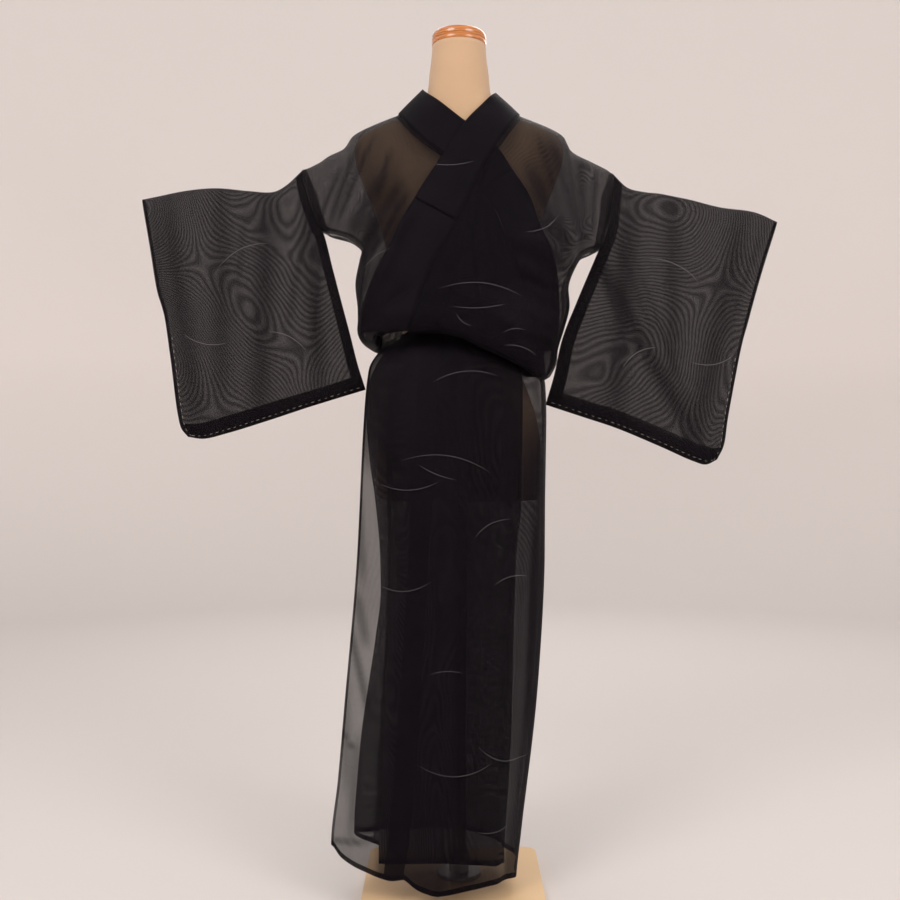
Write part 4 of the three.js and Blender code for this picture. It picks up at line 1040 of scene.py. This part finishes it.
def varnished_wood(settings):
    """Turned hardwood under clear varnish: warm orange brown with grain and a gloss coat."""
    material, tree, place = new_material("varnished_turned_wood")
    drawn = node(tree, "ShaderNodeMapping", {"Vector": place, "Scale": (1.0, 6.0, 6.0)})
    grain = node(
        tree, "ShaderNodeTexWave",
        {"Vector": drawn, "Scale": 11.0, "Distortion": 7.0, "Detail": 3.0}, wave_type="RINGS",
    ).outputs["Fac"]
    pores = node(tree, "ShaderNodeTexNoise", {"Vector": drawn, "Scale": 260.0, "Detail": 4.0})
    mixed = node(tree, "ShaderNodeMath", {0: pores, 1: 0.35, 2: grain}, operation="MULTIPLY_ADD")
    brown = settings.wood_colour
    finish(
        tree, mixed, shade(brown, 0.5), shade(brown),
        {"Roughness": 0.35, "IOR": 1.52, "Coat Weight": 0.8, "Coat Roughness": 0.08},
        (pores, 0.1, 0.0003),
    )
    return material


def painted_plate(settings):
    """Cream paint on a steel plate: satin, faintly uneven, with a few rubbed marks."""
    material, tree, place = new_material("cream_paint")
    peel = node(tree, "ShaderNodeTexNoise", {"Vector": place, "Scale": 420.0, "Detail": 2.0})
    rubbed = node(tree, "ShaderNodeTexNoise", {"Vector": place, "Scale": 7.0, "Detail": 8.0})
    gloss = node(tree, "ShaderNodeMath", {0: rubbed, 1: 0.25, 2: 0.32}, operation="MULTIPLY_ADD")
    cream = settings.plate_colour
    finish(
        tree, rubbed, shade(cream, 0.85), shade(cream), {"Roughness": gloss, "IOR": 1.5},
        (peel, 0.08, 0.0003),
    )
    return material


def brushed_steel():
    """Drawn steel tube, brushed along its length: grey metal with fine long scratches."""
    material, tree, place = new_material("brushed_steel")
    drawn = node(tree, "ShaderNodeMapping", {"Vector": place, "Scale": (900.0, 900.0, 6.0)})
    scratches = node(tree, "ShaderNodeTexNoise", {"Vector": drawn, "Scale": 1.0, "Detail": 3.0})
    gloss = node(tree, "ShaderNodeMath", {0: scratches, 1: 0.2, 2: 0.25}, operation="MULTIPLY_ADD")
    finish(
        tree, scratches, shade(linear("#8f9092")), shade(linear("#b9babb")),
        {"Metallic": 1.0, "Roughness": gloss},
    )
    return material


def studio_paper(colour):
    """Pale seamless studio paper: matt, faintly mottled, with painted shade that greys it low
    down.
    """
    material, tree, place = new_material("seamless_paper")
    mottle = node(tree, "ShaderNodeTexNoise", {"Vector": place, "Scale": 0.8, "Detail": 2.0})
    tones = {"Factor": mottle, 6: shade(colour, 0.97), 7: shade(colour)}
    tone = node(tree, "ShaderNodeMix", tones, data_type="RGBA").outputs[2]
    height = node(tree, "ShaderNodeSeparateXYZ", {0: place}).outputs[2]
    # Painted shade: the paper darkens towards the floor, to 0.74 of its tone at the bottom.
    shade_by_height = node(tree, "ShaderNodeMapRange", {0: height, 1: 0.0, 2: 1.4, 3: 0.0, 4: 1.0})
    finish(
        tree, shade_by_height, shade(colour, 0.74), tone, {"Roughness": 0.95, "Specular IOR Level": 0.1}
    )
    return material


# Settings


def colour(name, text, default):
    return FloatVectorProperty(
        name=name, description=text, default=linear(default), min=0, max=1, size=3, subtype="COLOR"
    )


def length(name, text, default, low, high):
    return FloatProperty(
        name=name, description=text, default=default, min=low, max=high, precision=4,
        subtype="DISTANCE", unit="LENGTH",
    )


def factor(name, text, default, high):
    return FloatProperty(
        name=name, description=text, default=default, min=0, max=high, subtype="FACTOR"
    )


class KIMONO_PG_settings(bpy.types.PropertyGroup):
    weft_spacing: length("Weft spacing", "Distance between the gauze's rows", 0.0017, 0.0003, 0.01)
    openness: factor("Openness", "Share of light that a layer of gauze lets through", 0.27, 0.5)
    row_contrast: factor("Row contrast", "How much more open it is between the rows", 0.8, 1)
    silk_dark: colour("Silk, dark", "Darkest tone of the black silk", "#060308")
    silk_light: colour("Silk, light", "Lightest tone of the black silk", "#0f0911")
    stroke_colour: colour("Strokes", "Colour of the woven strokes", "#565158")
    basting_colour: colour("Basting thread", "Colour of the basting stitches", "#9c948b")
    cover_colour: colour("Form cover", "Colour of the dress form's cover", "#cfac89")
    wood_colour: colour("Neck cap", "Colour of the wooden neck cap", "#c9772b")
    plate_colour: colour("Base plate", "Colour of the base plate's paint", "#ddb98a")
    fold_depth: factor("Fold depth", "How deep the cloth's folds are", 1, 2)
    sleeve_allowance: length("Sleeve hem", "Allowance round the sleeve", 0.030, 0.005, 0.06)
    seam_allowance: length("Seam allowance", "Allowance inside the body seams", 0.040, 0.005, 0.06)
    hem_depth: length("Hem", "Depth of the turned hem", 0.012, 0.004, 0.04)
    stitch_length: length("Stitch length", "Length of a basting stitch", 0.006, 0.002, 0.02)
    stitch_step: length("Stitch step", "From one basting stitch to the next", 0.013, 0.004, 0.04)
    stroke_width: length("Stroke width", "Width of a woven stroke", 0.0008, 0.0003, 0.004)
    seed: IntProperty(name="Seed", description="Unevenness of the basting", default=7, min=0)


gauzes = {}


def gauze(layers=1):
    """The silk gauze, or a denser one that stands for more layers of it."""
    if layers not in gauzes:
        name = SILK if layers == 1 else f"{SILK}_{layers}_layers"
        gauzes[layers] = silk_gauze(name, bpy.context.scene.kimono, layers)
    return gauzes[layers]


class KIMONO_OT_form(bpy.types.Operator):
    """Builds the dress form's torso and neck cap, and gives its pole, flange and base plate their
    finishes
    """

    bl_idname = "kimono.form"
    bl_label = "Dress form"

    def execute(self, context):
        settings = context.scene.kimono
        ends = [FORM_ROWS[0][0], FORM_ROWS[-1][0]]
        heights = np.unique([*np.linspace(*ends, 130), *(r[0] for r in FORM_ROWS)])
        rings = rings_of(*FORM(heights), heights)
        torso = turned_piece("padded_torso", rings, jersey_cover(settings))
        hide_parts("form_torso")
        radii, heights = np.array(CAP_PROFILE).T
        rings = rings_of(radii, radii, heights)
        cap = turned_piece("neck_cap", rings, varnished_wood(settings))
        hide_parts("form_cap")
        steel = brushed_steel()
        finishes = {"form_base": painted_plate(settings), "form_flange": steel, "form_pole": steel}
        for name, material in finishes.items():
            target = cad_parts[name]
            target.data.materials.clear()
            target.data.materials.append(material)
        return {"FINISHED"}


class KIMONO_OT_bodice(bpy.types.Operator):
    """Lays the upper stretch of both body panels and overlap panels over the dress form"""

    bl_idname = "kimono.bodice"
    bl_label = "Bodice"

    def execute(self, context):
        settings = context.scene.kimono
        folds, allowance = settings.fold_depth, settings.seam_allowance / MM
        for left, side, phase in ((True, "left", 1.3), (False, "right", 2.1)):
            grid = upper_panel(left, folds)
            wide, long = cut_of(grid)
            bands = [
                (*ALL, wide - allowance, wide + 1, ALLOWANCE), (*ALL, -1, 14, ALLOWANCE),
                *((*ALL, wide - 8, wide + 1, depth) for depth in EDGE_FOLDS),
            ]
            front = grid[..., 1] < SIDE_LINE
            x, z = grid[..., 0], grid[..., 2]
            # Painted fold shade: the threads are drawn denser along the folds' lines, which
            # darkens them.
            layers_and_fold_shade = np.where(
                front, fold_shade_at(BODY_FOLDS, x, z, 3.6), fold_shade_at(BACK_FOLDS, x, z)
            )
            # Denser behind at the take-up fold, and where the wrap covers the right panel.
            layers_and_fold_shade = layers_and_fold_shade + 1.0 * ~front * (1 - ramp(z, 1030, 1075))
            if not left:
                layers_and_fold_shade = layers_and_fold_shade + SPARE_LAYERS * front * ramp(x - OVER_INNER_EDGE(z), 6, 18)
            name = f"body_panel_{side}_upper"
            piece = cloth_mesh(name, grid, bands, (5.0, 7.0, phase), layers_and_fold_shade)
            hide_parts(f"body_{side}_upper")
        gores = [
            ("left", OVER_COLLAR_EDGE, OVER_SEAM, OVER_POINT, over_layer, 0, 3.7, 0.0),
            ("right", UNDER_COLLAR_EDGE, UNDER_SEAM, UNDER_POINT, under_layer, UNDER_RAISED, 0.4,
             SPARE_LAYERS),
        ]
        for side, edge, seam, point, layer, raised, phase, spare in gores:
            grid = upper_gore(edge, seam, point, layer, raised, folds)
            piece = cloth_mesh(
                f"overlap_panel_{side}_upper", grid, [(*ALL, -1, 8, ALLOWANCE)], (2.0, 3.0, phase),
                np.full(grid.shape[:2], spare),
            )
            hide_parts(f"overlap_{side}_upper")
            long = cut_of(grid)[1] * MM
        return {"FINISHED"}


# The over-collar: the rows of the collar's tables between which it lies, and its share across.
OVER_COLLAR_FIRST = 6
OVER_COLLAR_LAST = 31
OVER_COLLAR_SPAN = (0.045, 0.99)
# How far each band lies off the body's cloth, how thick it is, and the layers it stands for.
COLLAR_LIFT, COLLAR_THICK = 0.6, 1.7
OVER_COLLAR_LIFT, OVER_COLLAR_THICK = 2.4, 1.1
COLLAR_LAYERS = 3


class KIMONO_OT_collars(bpy.types.Operator):
    """Folds the collar round the neck and lays the over-collar on it"""

    bl_idname = "kimono.collars"
    bl_label = "Collar and over-collar"

    def execute(self, context):
        folds = context.scene.kimono.fold_depth
        grid, _ = collar_grid((0.0, 1.0), folds)
        outward, _ = outward_normals(grid)
        lifted = grid + outward * COLLAR_LIFT
        piece = folded_band("collar_band", lifted, outward, COLLAR_THICK)
        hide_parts("collar")
        grid, lengths = collar_grid(OVER_COLLAR_SPAN, folds)
        along = cloth_lengths(grid)[1]
        first, last = lengths[[OVER_COLLAR_FIRST, OVER_COLLAR_LAST]] * (along[-1] / lengths[-1])
        rows = (along >= first) & (along <= last)
        outward, _ = outward_normals(grid)
        lifted = (grid + outward * OVER_COLLAR_LIFT)[rows]
        piece = folded_band("over_collar_band", lifted, outward[rows], OVER_COLLAR_THICK)
        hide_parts("over_collar")
        return {"FINISHED"}


def seam_turn(seam):
    """A seam's turn round the wrap, read at any height."""
    return lambda z: wrap_turn(seam(z), z)


def fixed_turn(turn):
    return lambda z: turn + 0 * z


def laid_close(turn):
    return 0 * turn


def laid_over(turn):
    """The over front lies a layer out, and comes down to the body at the side."""
    return LAYER * (1 - ramp(turn, 52, 88))


class KIMONO_OT_skirt(bpy.types.Operator):
    """Wraps the lower stretch of the body and overlap panels round the hips"""

    bl_idname = "kimono.skirt"
    bl_label = "Skirt"

    def execute(self, context):
        folds = context.scene.kimono.fold_depth
        right_side, under_seam = seam_turn(RIGHT_SIDE_SEAM), seam_turn(UNDER_GORE_SEAM)
        under_edge, over_seam = seam_turn(UNDER_FREE_EDGE), seam_turn(OVER_GORE_SEAM)
        left_side = fixed_turn(LEFT_SIDE_TURN)

        def back(x, turn):
            return HEM_BACK(turn)

        def under(x, turn):
            return HEM_UNDER(x)

        def over(x, turn):
            return HEM_OVER(x)

        rows = [
            ("body_panel_right_back_lower", "back_right_lower", "both", 1.1,
             44, fixed_turn(-180), right_side, laid_close, back),
            ("body_panel_right_front_lower", "front_right_lower", "under", 3.0,
             34, right_side, under_seam, laid_close, under),
            ("overlap_panel_right_lower", "overlap_right_lower", "inside", 4.9,
             14, under_seam, under_edge, laid_close, under),
            ("body_panel_left_back_lower", "back_left_lower", "both", 6.8,
             34, left_side, fixed_turn(180), laid_close, back),
            ("body_panel_left_front_lower", "front_left_lower", "end", 8.7,
             50, over_seam, left_side, laid_over, over),
        ]
        for name, solid, sides, phase, *shape in rows:
            self.lay(context, name, solid, lower_piece(*shape, folds), sides, phase)
        self.lay(context, "overlap_panel_left_lower", "overlap_left_lower", over_flap(folds),
                 "flap", 4.3)
        return {"FINISHED"}

    def lay(self, context, name, solid, grid, sides, phase):
        """Lays a lower piece with the allowances and the denser threads of its kind."""
        settings = context.scene.kimono
        allowance, hem = settings.seam_allowance / MM, settings.hem_depth / MM
        wide, long = cut_of(grid)
        bands = [(long - hem, long + 1, *ALL, depth) for depth in HEM_FOLDS]
        x, z = grid[..., 0], grid[..., 2]
        across = cloth_lengths(grid)[0][None, :]
        # The threads are drawn denser in the skirt's creases, as painted shade, and at the top.
        layers_and_fold_shade = crease_shade_in(grid) + 1.0 * ramp(z, 985, 1010)
        if sides == "both":
            narrow = allowance * 0.45
            bands += [(*ALL, -1, narrow, ALLOWANCE), (*ALL, wide - narrow, wide + 1, ALLOWANCE)]
        elif sides == "under":
            # The spare width is denser past the first 66 mm, and drawn less over the form's hips.
            below_form = 1 - 0.7 * ramp(z, 700, 800)
            layers_and_fold_shade = layers_and_fold_shade + SPARE_LAYERS * (0.8 + 0.4 * (across > 66)) * below_form
        elif sides == "inside":
            layers_and_fold_shade = layers_and_fold_shade + SPARE_LAYERS
        elif sides == "end":
            # Denser at the seam to the overlap panel, past the under front's edge and at the hem.
            bands += [(*ALL, wide - 22, wide + 1, ALLOWANCE)]
            past = x - UNDER_FREE_EDGE(z)
            low = 1 - ramp(z, 750, 930)
            layers_and_fold_shade = layers_and_fold_shade + 1.1 * (1 - ramp(across, 55, 75))
            layers_and_fold_shade = layers_and_fold_shade + low * (0.9 * ramp(past, -8, 4) + 1.5 * ramp(past, 24, 34))
            layers_and_fold_shade = layers_and_fold_shade + 0.45 * (1 - ramp(z, 88, 112))
        elif sides == "flap":
            # Denser in its creases, as painted shade, towards the hips and at the seam.
            bands += [(*ALL, -1, 11, ALLOWANCE), (*ALL, wide - allowance, wide + 1, ALLOWANCE)]
            layers_and_fold_shade = layers_and_fold_shade + 0.25 * folds_at(FLAP_CREASES, x, z) + 1.6 * ramp(z, 760, 900)
            layers_and_fold_shade = layers_and_fold_shade + 1.0 * ramp(across, wide - 60, wide - 36)
        piece = cloth_mesh(name, grid, bands, (5.0, 7.0, phase), layers_and_fold_shade)
        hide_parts(solid)


class KIMONO_OT_sleeves(bpy.types.Operator):
    """Hangs both sleeves from the armholes, held out to the sides"""

    bl_idname = "kimono.sleeves"
    bl_label = "Sleeves"

    def execute(self, context):
        settings = context.scene.kimono
        allowance = settings.sleeve_allowance / MM
        for (side, sleeve), phase in zip(SLEEVES.items(), (2.6, 1.0)):
            front, back = (sleeve_grid(sleeve, face, settings.fold_depth) for face in (-1, 1))
            top = (front[:1] + back[:1]) / 2
            grid = np.concatenate([front[:0:-1], top, back[1:]])
            wide, long = cut_of(grid)
            deep = allowance * 1.2
            bands = [
                (-1, deep, *ALL, ALLOWANCE), (long - deep, long + 1, *ALL, ALLOWANCE),
                (*ALL, -1, allowance * 0.8, ALLOWANCE), (*ALL, wide - 11, wide + 1, ALLOWANCE),
            ]
            # Painted fold shade: the threads are drawn denser along the sleeves' folds, which
            # darkens them.
            layers_and_fold_shade = 0.1 + fold_shade_at(SLEEVE_FOLDS, grid[..., 0], grid[..., 2], 18.0)
            middle = grid.reshape(-1, 3).mean(0)
            drift = (9.0, 14.0, phase)
            piece = cloth_mesh(f"sleeve_{side}", grid, bands, drift, layers_and_fold_shade, middle)
            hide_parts(f"sleeve_{side}_front", f"sleeve_{side}_back")
            sleeve_cloth[side] = grid
        return {"FINISHED"}


def stitch_tree(material):
    """Geometry Nodes: basting stitches laid one after another along a path."""
    tree = bpy.data.node_groups.new("basting_stitches", "GeometryNodeTree")
    for name, kind, way in (
        ("Geometry", "Geometry", "INPUT"), ("Step", "Float", "INPUT"),
        ("Length", "Float", "INPUT"), ("Thickness", "Float", "INPUT"), ("Seed", "Int", "INPUT"),
        ("Geometry", "Geometry", "OUTPUT"),
    ):
        tree.interface.new_socket(name, in_out=way, socket_type=f"NodeSocket{kind}")
    given = node(tree, "NodeGroupInput").outputs
    links = {"Curve": given["Geometry"], "Length": given["Step"]}
    path = node(tree, "GeometryNodeCurveToPoints", links, mode="LENGTH").outputs
    half = node(tree, "ShaderNodeMath", {0: given["Length"], 1: 0.5}, operation="MULTIPLY")
    thick = given["Thickness"]
    size = node(tree, "ShaderNodeCombineXYZ", {0: thick, 1: thick, 2: half})
    ball = node(tree, "GeometryNodeMeshUVSphere", {"Segments": 8, "Rings": 6, "Radius": 1.0})
    thread = node(tree, "GeometryNodeTransform", {"Geometry": ball, "Scale": size})
    links = {2: 0.75, 3: 1.2, "Seed": given["Seed"]}
    uneven = node(tree, "FunctionNodeRandomValue", links, data_type="FLOAT").outputs[1]
    placing = {"Points": path["Points"], "Rotation": path["Rotation"]}
    placing.update({"Instance": thread, "Scale": uneven})
    stitches = node(tree, "GeometryNodeInstanceOnPoints", placing)
    real = node(tree, "GeometryNodeRealizeInstances", {0: stitches})
    covered = node(tree, "GeometryNodeSetMaterial", {"Geometry": real, "Material": material})
    node(tree, "NodeGroupOutput", {0: covered})
    return tree


BASTING_THICKNESS = 0.00035
BASTING_LIFT = 0.5
BASTING_INSET = 2


class KIMONO_OT_basting(bpy.types.Operator):
    """Runs white basting stitches along the sleeves' bottoms and the lower half of their cuffs"""

    bl_idname = "kimono.basting"
    bl_label = "Basting stitches"

    def execute(self, context):
        settings = context.scene.kimono
        tree = stitch_tree(basting_cotton(settings))
        sockets = {
            item.name: item.identifier for item in tree.interface.items_tree
            if item.in_out == "INPUT"
        }
        for side, grid in sleeve_cloth.items():
            outward, _ = outward_normals(grid, grid.reshape(-1, 3).mean(0))
            laid = grid + outward * BASTING_LIFT
            low, high = BASTING_INSET, len(grid) - 1 - BASTING_INSET
            half = len(grid) // 2
            holder = bpy.data.curves.new(f"basting_path_{side}", "CURVE")
            holder.dimensions = "3D"
            for path in (
                laid[low, 2:-3], laid[high, 2:-3],
                laid[low : int(half * 0.45), -3], laid[int(half * 1.55) : high, -3],
            ):
                spline = holder.splines.new("POLY")
                spline.points.add(len(path) - 1)
                flat = np.concatenate([path * MM, np.ones((len(path), 1))], 1)
                spline.points.foreach_set("co", flat.reshape(-1))
            source = bpy.data.objects.new(f"basting_path_{side}", holder)
            context.scene.collection.objects.link(source)
            laying = source.modifiers.new("stitches", "NODES")
            laying.node_group = tree
            laying[sockets["Step"]] = settings.stitch_step
            laying[sockets["Length"]] = settings.stitch_length
            laying[sockets["Thickness"]] = BASTING_THICKNESS
            laying[sockets["Seed"]] = settings.seed
            context.view_layer.update()
            graph = context.evaluated_depsgraph_get()
            mesh = bpy.data.meshes.new_from_object(source.evaluated_get(graph))
            bpy.data.objects.remove(source)
            if not mesh.polygons:
                raise RuntimeError(f"no basting stitches were laid on the {side} sleeve")
            mesh.shade_smooth()
            placed(f"basting_{side}", mesh)
        return {"FINISHED"}


# Woven strokes, given as plain arcs: x and z of the middle, chord, how far the arc
# rises (or, below 0, sags) and its tilt in degrees. The first list is in front, the second behind.
FRONT_STROKES = [
    (-15, 1352, 80, -6, 2), (38, 1112, 150, 16, -4), (34, 1088, 92, -5, 3),
    (8, 1062, 34, -5, -38), (98, 1042, 40, 5, 8), (10, 958, 118, 14, 6), (-24, 800, 160, 20, -8),
    (-40, 790, 70, -4, -22), (-92, 770, 104, -12, 2), (-100, 590, 96, -14, 4),
    (92, 594, 62, 8, 12), (-24, 430, 56, 5, 3), (-8, 268, 130, -20, 2), (80, 286, 94, -14, -16),
    (58, 150, 56, -5, 2), (-205, 262, 44, -6, -24), (-206, 66, 40, -4, -10), (60, 690, 70, 9, 26),
    (-150, 1180, 60, 7, 24), (150, 1240, 70, -8, 32), (110, 1010, 60, 6, -14),
    (420, 1180, 110, 14, -22), (500, 1010, 90, -12, 10), (350, 1010, 80, 10, 30),
    (-420, 1210, 110, 13, 20), (-500, 1050, 90, -11, -12), (-330, 1040, 80, 9, -28),
]
BACK_STROKES = [
    (60, 1300, 120, 14, 8), (-70, 1210, 100, -12, -10), (30, 1120, 90, 10, 14),
    (-50, 930, 130, 16, -6), (70, 820, 110, -14, 8), (-30, 690, 90, 11, 12),
    (80, 560, 120, 15, -10), (-90, 470, 110, -13, 6), (20, 340, 130, 17, 4),
    (-60, 220, 90, -10, -14), (60, 170, 70, 8, 10), (420, 1150, 110, 14, 18),
    (480, 980, 90, -12, -10), (-430, 1180, 110, 13, -20), (-480, 1000, 90, -11, 12),
]

# Metres: where the rays that find the cloth start, a stroke's height over it, and the longest
# step between two points of a stroke, past which it is broken.
RAY_START = 1.5
STROKE_LIFT = 0.0006
LONGEST_STEP = 0.03


class KIMONO_OT_strokes(bpy.types.Operator):
    """Weaves sparse thin arcs into the cloth, in front and behind"""

    bl_idname = "kimono.strokes"
    bl_label = "Woven strokes"

    def execute(self, context):
        settings = context.scene.kimono
        points, faces = [], []
        for piece in laid_cloth:
            first = len(points)
            points += [v.co.copy() for v in piece.data.vertices]
            faces += [tuple(first + i for i in p.vertices) for p in piece.data.polygons]
        tree = BVHTree.FromPolygons(points, faces)
        co, quads = [], []
        for face, strokes in ((-1, FRONT_STROKES), (1, BACK_STROKES)):
            for stroke in strokes:
                self.weave(tree, face, stroke, settings.stroke_width / 2, co, quads)
        mesh = bpy.data.meshes.new("woven_strokes")
        mesh.from_pydata(co, [], quads)
        mesh.materials.append(woven_strokes(settings))
        placed("woven_strokes", mesh)
        return {"FINISHED"}

    def weave(self, tree, face, stroke, half, co, quads):
        """Adds one stroke as a ribbon that tapers at both ends and lies on the cloth."""
        x, z, chord, rise, tilt = stroke
        share = np.linspace(-1, 1, 41)
        flat = np.stack([share * chord / 2, rise * (1 - share**2)], -1)
        turn = math.radians(tilt)
        spin = np.array([[math.cos(turn), math.sin(turn)], [-math.sin(turn), math.cos(turn)]])
        line = (flat @ spin + [x, z]) * MM
        last = None
        for i, (px, pz) in enumerate(line):
            start = Vector((px, face * RAY_START, pz))
            place = tree.ray_cast(start, Vector((0, -face, 0)))[0]
            if place is None:
                last = None
                continue
            place = place + Vector((0, face * STROKE_LIFT, 0))
            ahead = line[min(i + 1, len(line) - 1)] - line[max(i - 1, 0)]
            ahead = ahead / np.linalg.norm(ahead)
            taper = half * (1 - abs(share[i]) ** 3 * 0.8)
            side = Vector((-ahead[1] * taper, 0, ahead[0] * taper))
            here = len(co)
            co += [place - side, place + side]
            if last is not None and (co[last] - co[here]).length < LONGEST_STEP:
                quads.append((last, here, here + 1, last + 1))
            last = here


# The studio, in metres: a bowl of paper, flat out to FLOOR_RADIUS, that bends up to a wall.
FLOOR_RADIUS = 3.6
BOWL_BEND = 1.2
BOWL_STEPS = 12
WALL_TOP = 4.6
BELOW_BASE = 0.0005
LIGHTS = [
    ("key", (-1.9, -2.6, 3.1), 1.8, 62), ("fill", (2.2, -2.4, 2.6), 1.8, 48),
    ("rim", (0.6, 2.8, 3.2), 2.0, 40),
]
LIGHTS_AIM = (0, 0, 0.9)
CAMERA_PLACE = (-0.0173, -2.02, 0.83)


class KIMONO_OT_stage(bpy.types.Operator):
    """Sets the pale studio, its lights and the camera"""

    bl_idname = "kimono.stage"
    bl_label = "Stage"

    def execute(self, context):
        scene = context.scene
        bend = np.linspace(0, math.pi / 2, BOWL_STEPS + 1)
        radii = np.append(FLOOR_RADIUS + BOWL_BEND * np.sin(bend), FLOOR_RADIUS + BOWL_BEND)
        heights = np.append(BOWL_BEND - BOWL_BEND * np.cos(bend), WALL_TOP) - BELOW_BASE
        rings = rings_of(radii, radii, heights)
        count = rings.shape[1]
        middle = len(rings) * count
        faces = [face[::-1] for face in ring_faces(rings)]
        faces += [(middle, k, (k + 1) % count) for k in range(count)]
        co = [*rings.reshape(-1, 3) / MM, (0, 0, -BELOW_BASE / MM)]
        mesh = shaped("studio_paper", co, faces, studio_paper(linear("#efe9e6")))
        paper = bpy.data.objects.new("studio_paper", mesh)
        scene.collection.objects.link(paper)

        scene.world = bpy.data.worlds.new("studio")
        scene.world.use_nodes = True
        background = scene.world.node_tree.nodes["Background"].inputs
        background[0].default_value = shade(linear("#fbf8f7"))
        background[1].default_value = 0.82
        for name, place, size, power in LIGHTS:
            light = bpy.data.lights.new(name, "AREA")
            light.shape = "DISK"
            light.size = size
            light.energy = power
            light.color = linear("#fffaf6")
            lamp = bpy.data.objects.new(name, light)
            lamp.location = place
            aim = Vector(LIGHTS_AIM) - Vector(place)
            lamp.rotation_euler = aim.to_track_quat("-Z", "Y").to_euler()
            scene.collection.objects.link(lamp)
        scene.view_settings.view_transform = "Standard"
        camera = bpy.data.cameras.new("camera")
        camera.lens = 42
        camera.sensor_width = 36
        scene.camera = bpy.data.objects.new("camera", camera)
        scene.camera.location = CAMERA_PLACE
        scene.camera.rotation_euler = (math.pi / 2, 0, 0)
        scene.collection.objects.link(scene.camera)
        return {"FINISHED"}


class KIMONO_PT_panel(bpy.types.Panel):
    """Lists the settings and the building steps of the kimono"""

    bl_idname = "KIMONO_PT_panel"
    bl_label = "Kimono"
    bl_space_type = "VIEW_3D"
    bl_region_type = "UI"
    bl_category = "Kimono"

    def draw(self, context):
        for name in KIMONO_PG_settings.__annotations__:
            self.layout.prop(context.scene.kimono, name)
        for step in STEPS:
            self.layout.operator(step.bl_idname)


STEPS = [
    KIMONO_OT_stage, KIMONO_OT_form, KIMONO_OT_bodice, KIMONO_OT_collars, KIMONO_OT_skirt,
    KIMONO_OT_sleeves, KIMONO_OT_basting, KIMONO_OT_strokes,
]
CLASSES = [KIMONO_PG_settings, *STEPS, KIMONO_PT_panel]


def register():
    for item in CLASSES:
        bpy.utils.register_class(item)
    bpy.types.Scene.kimono = PointerProperty(type=KIMONO_PG_settings)


def unregister():
    del bpy.types.Scene.kimono
    for item in reversed(CLASSES):
        bpy.utils.unregister_class(item)


def main():
    register()
    bpy.ops.kimono.stage()
    bpy.ops.kimono.form()
    bpy.ops.kimono.bodice()
    bpy.ops.kimono.collars()
    bpy.ops.kimono.skirt()
    bpy.ops.kimono.sleeves()
    bpy.ops.kimono.basting()
    bpy.ops.kimono.strokes()


if __name__ == "__main__":
    main()
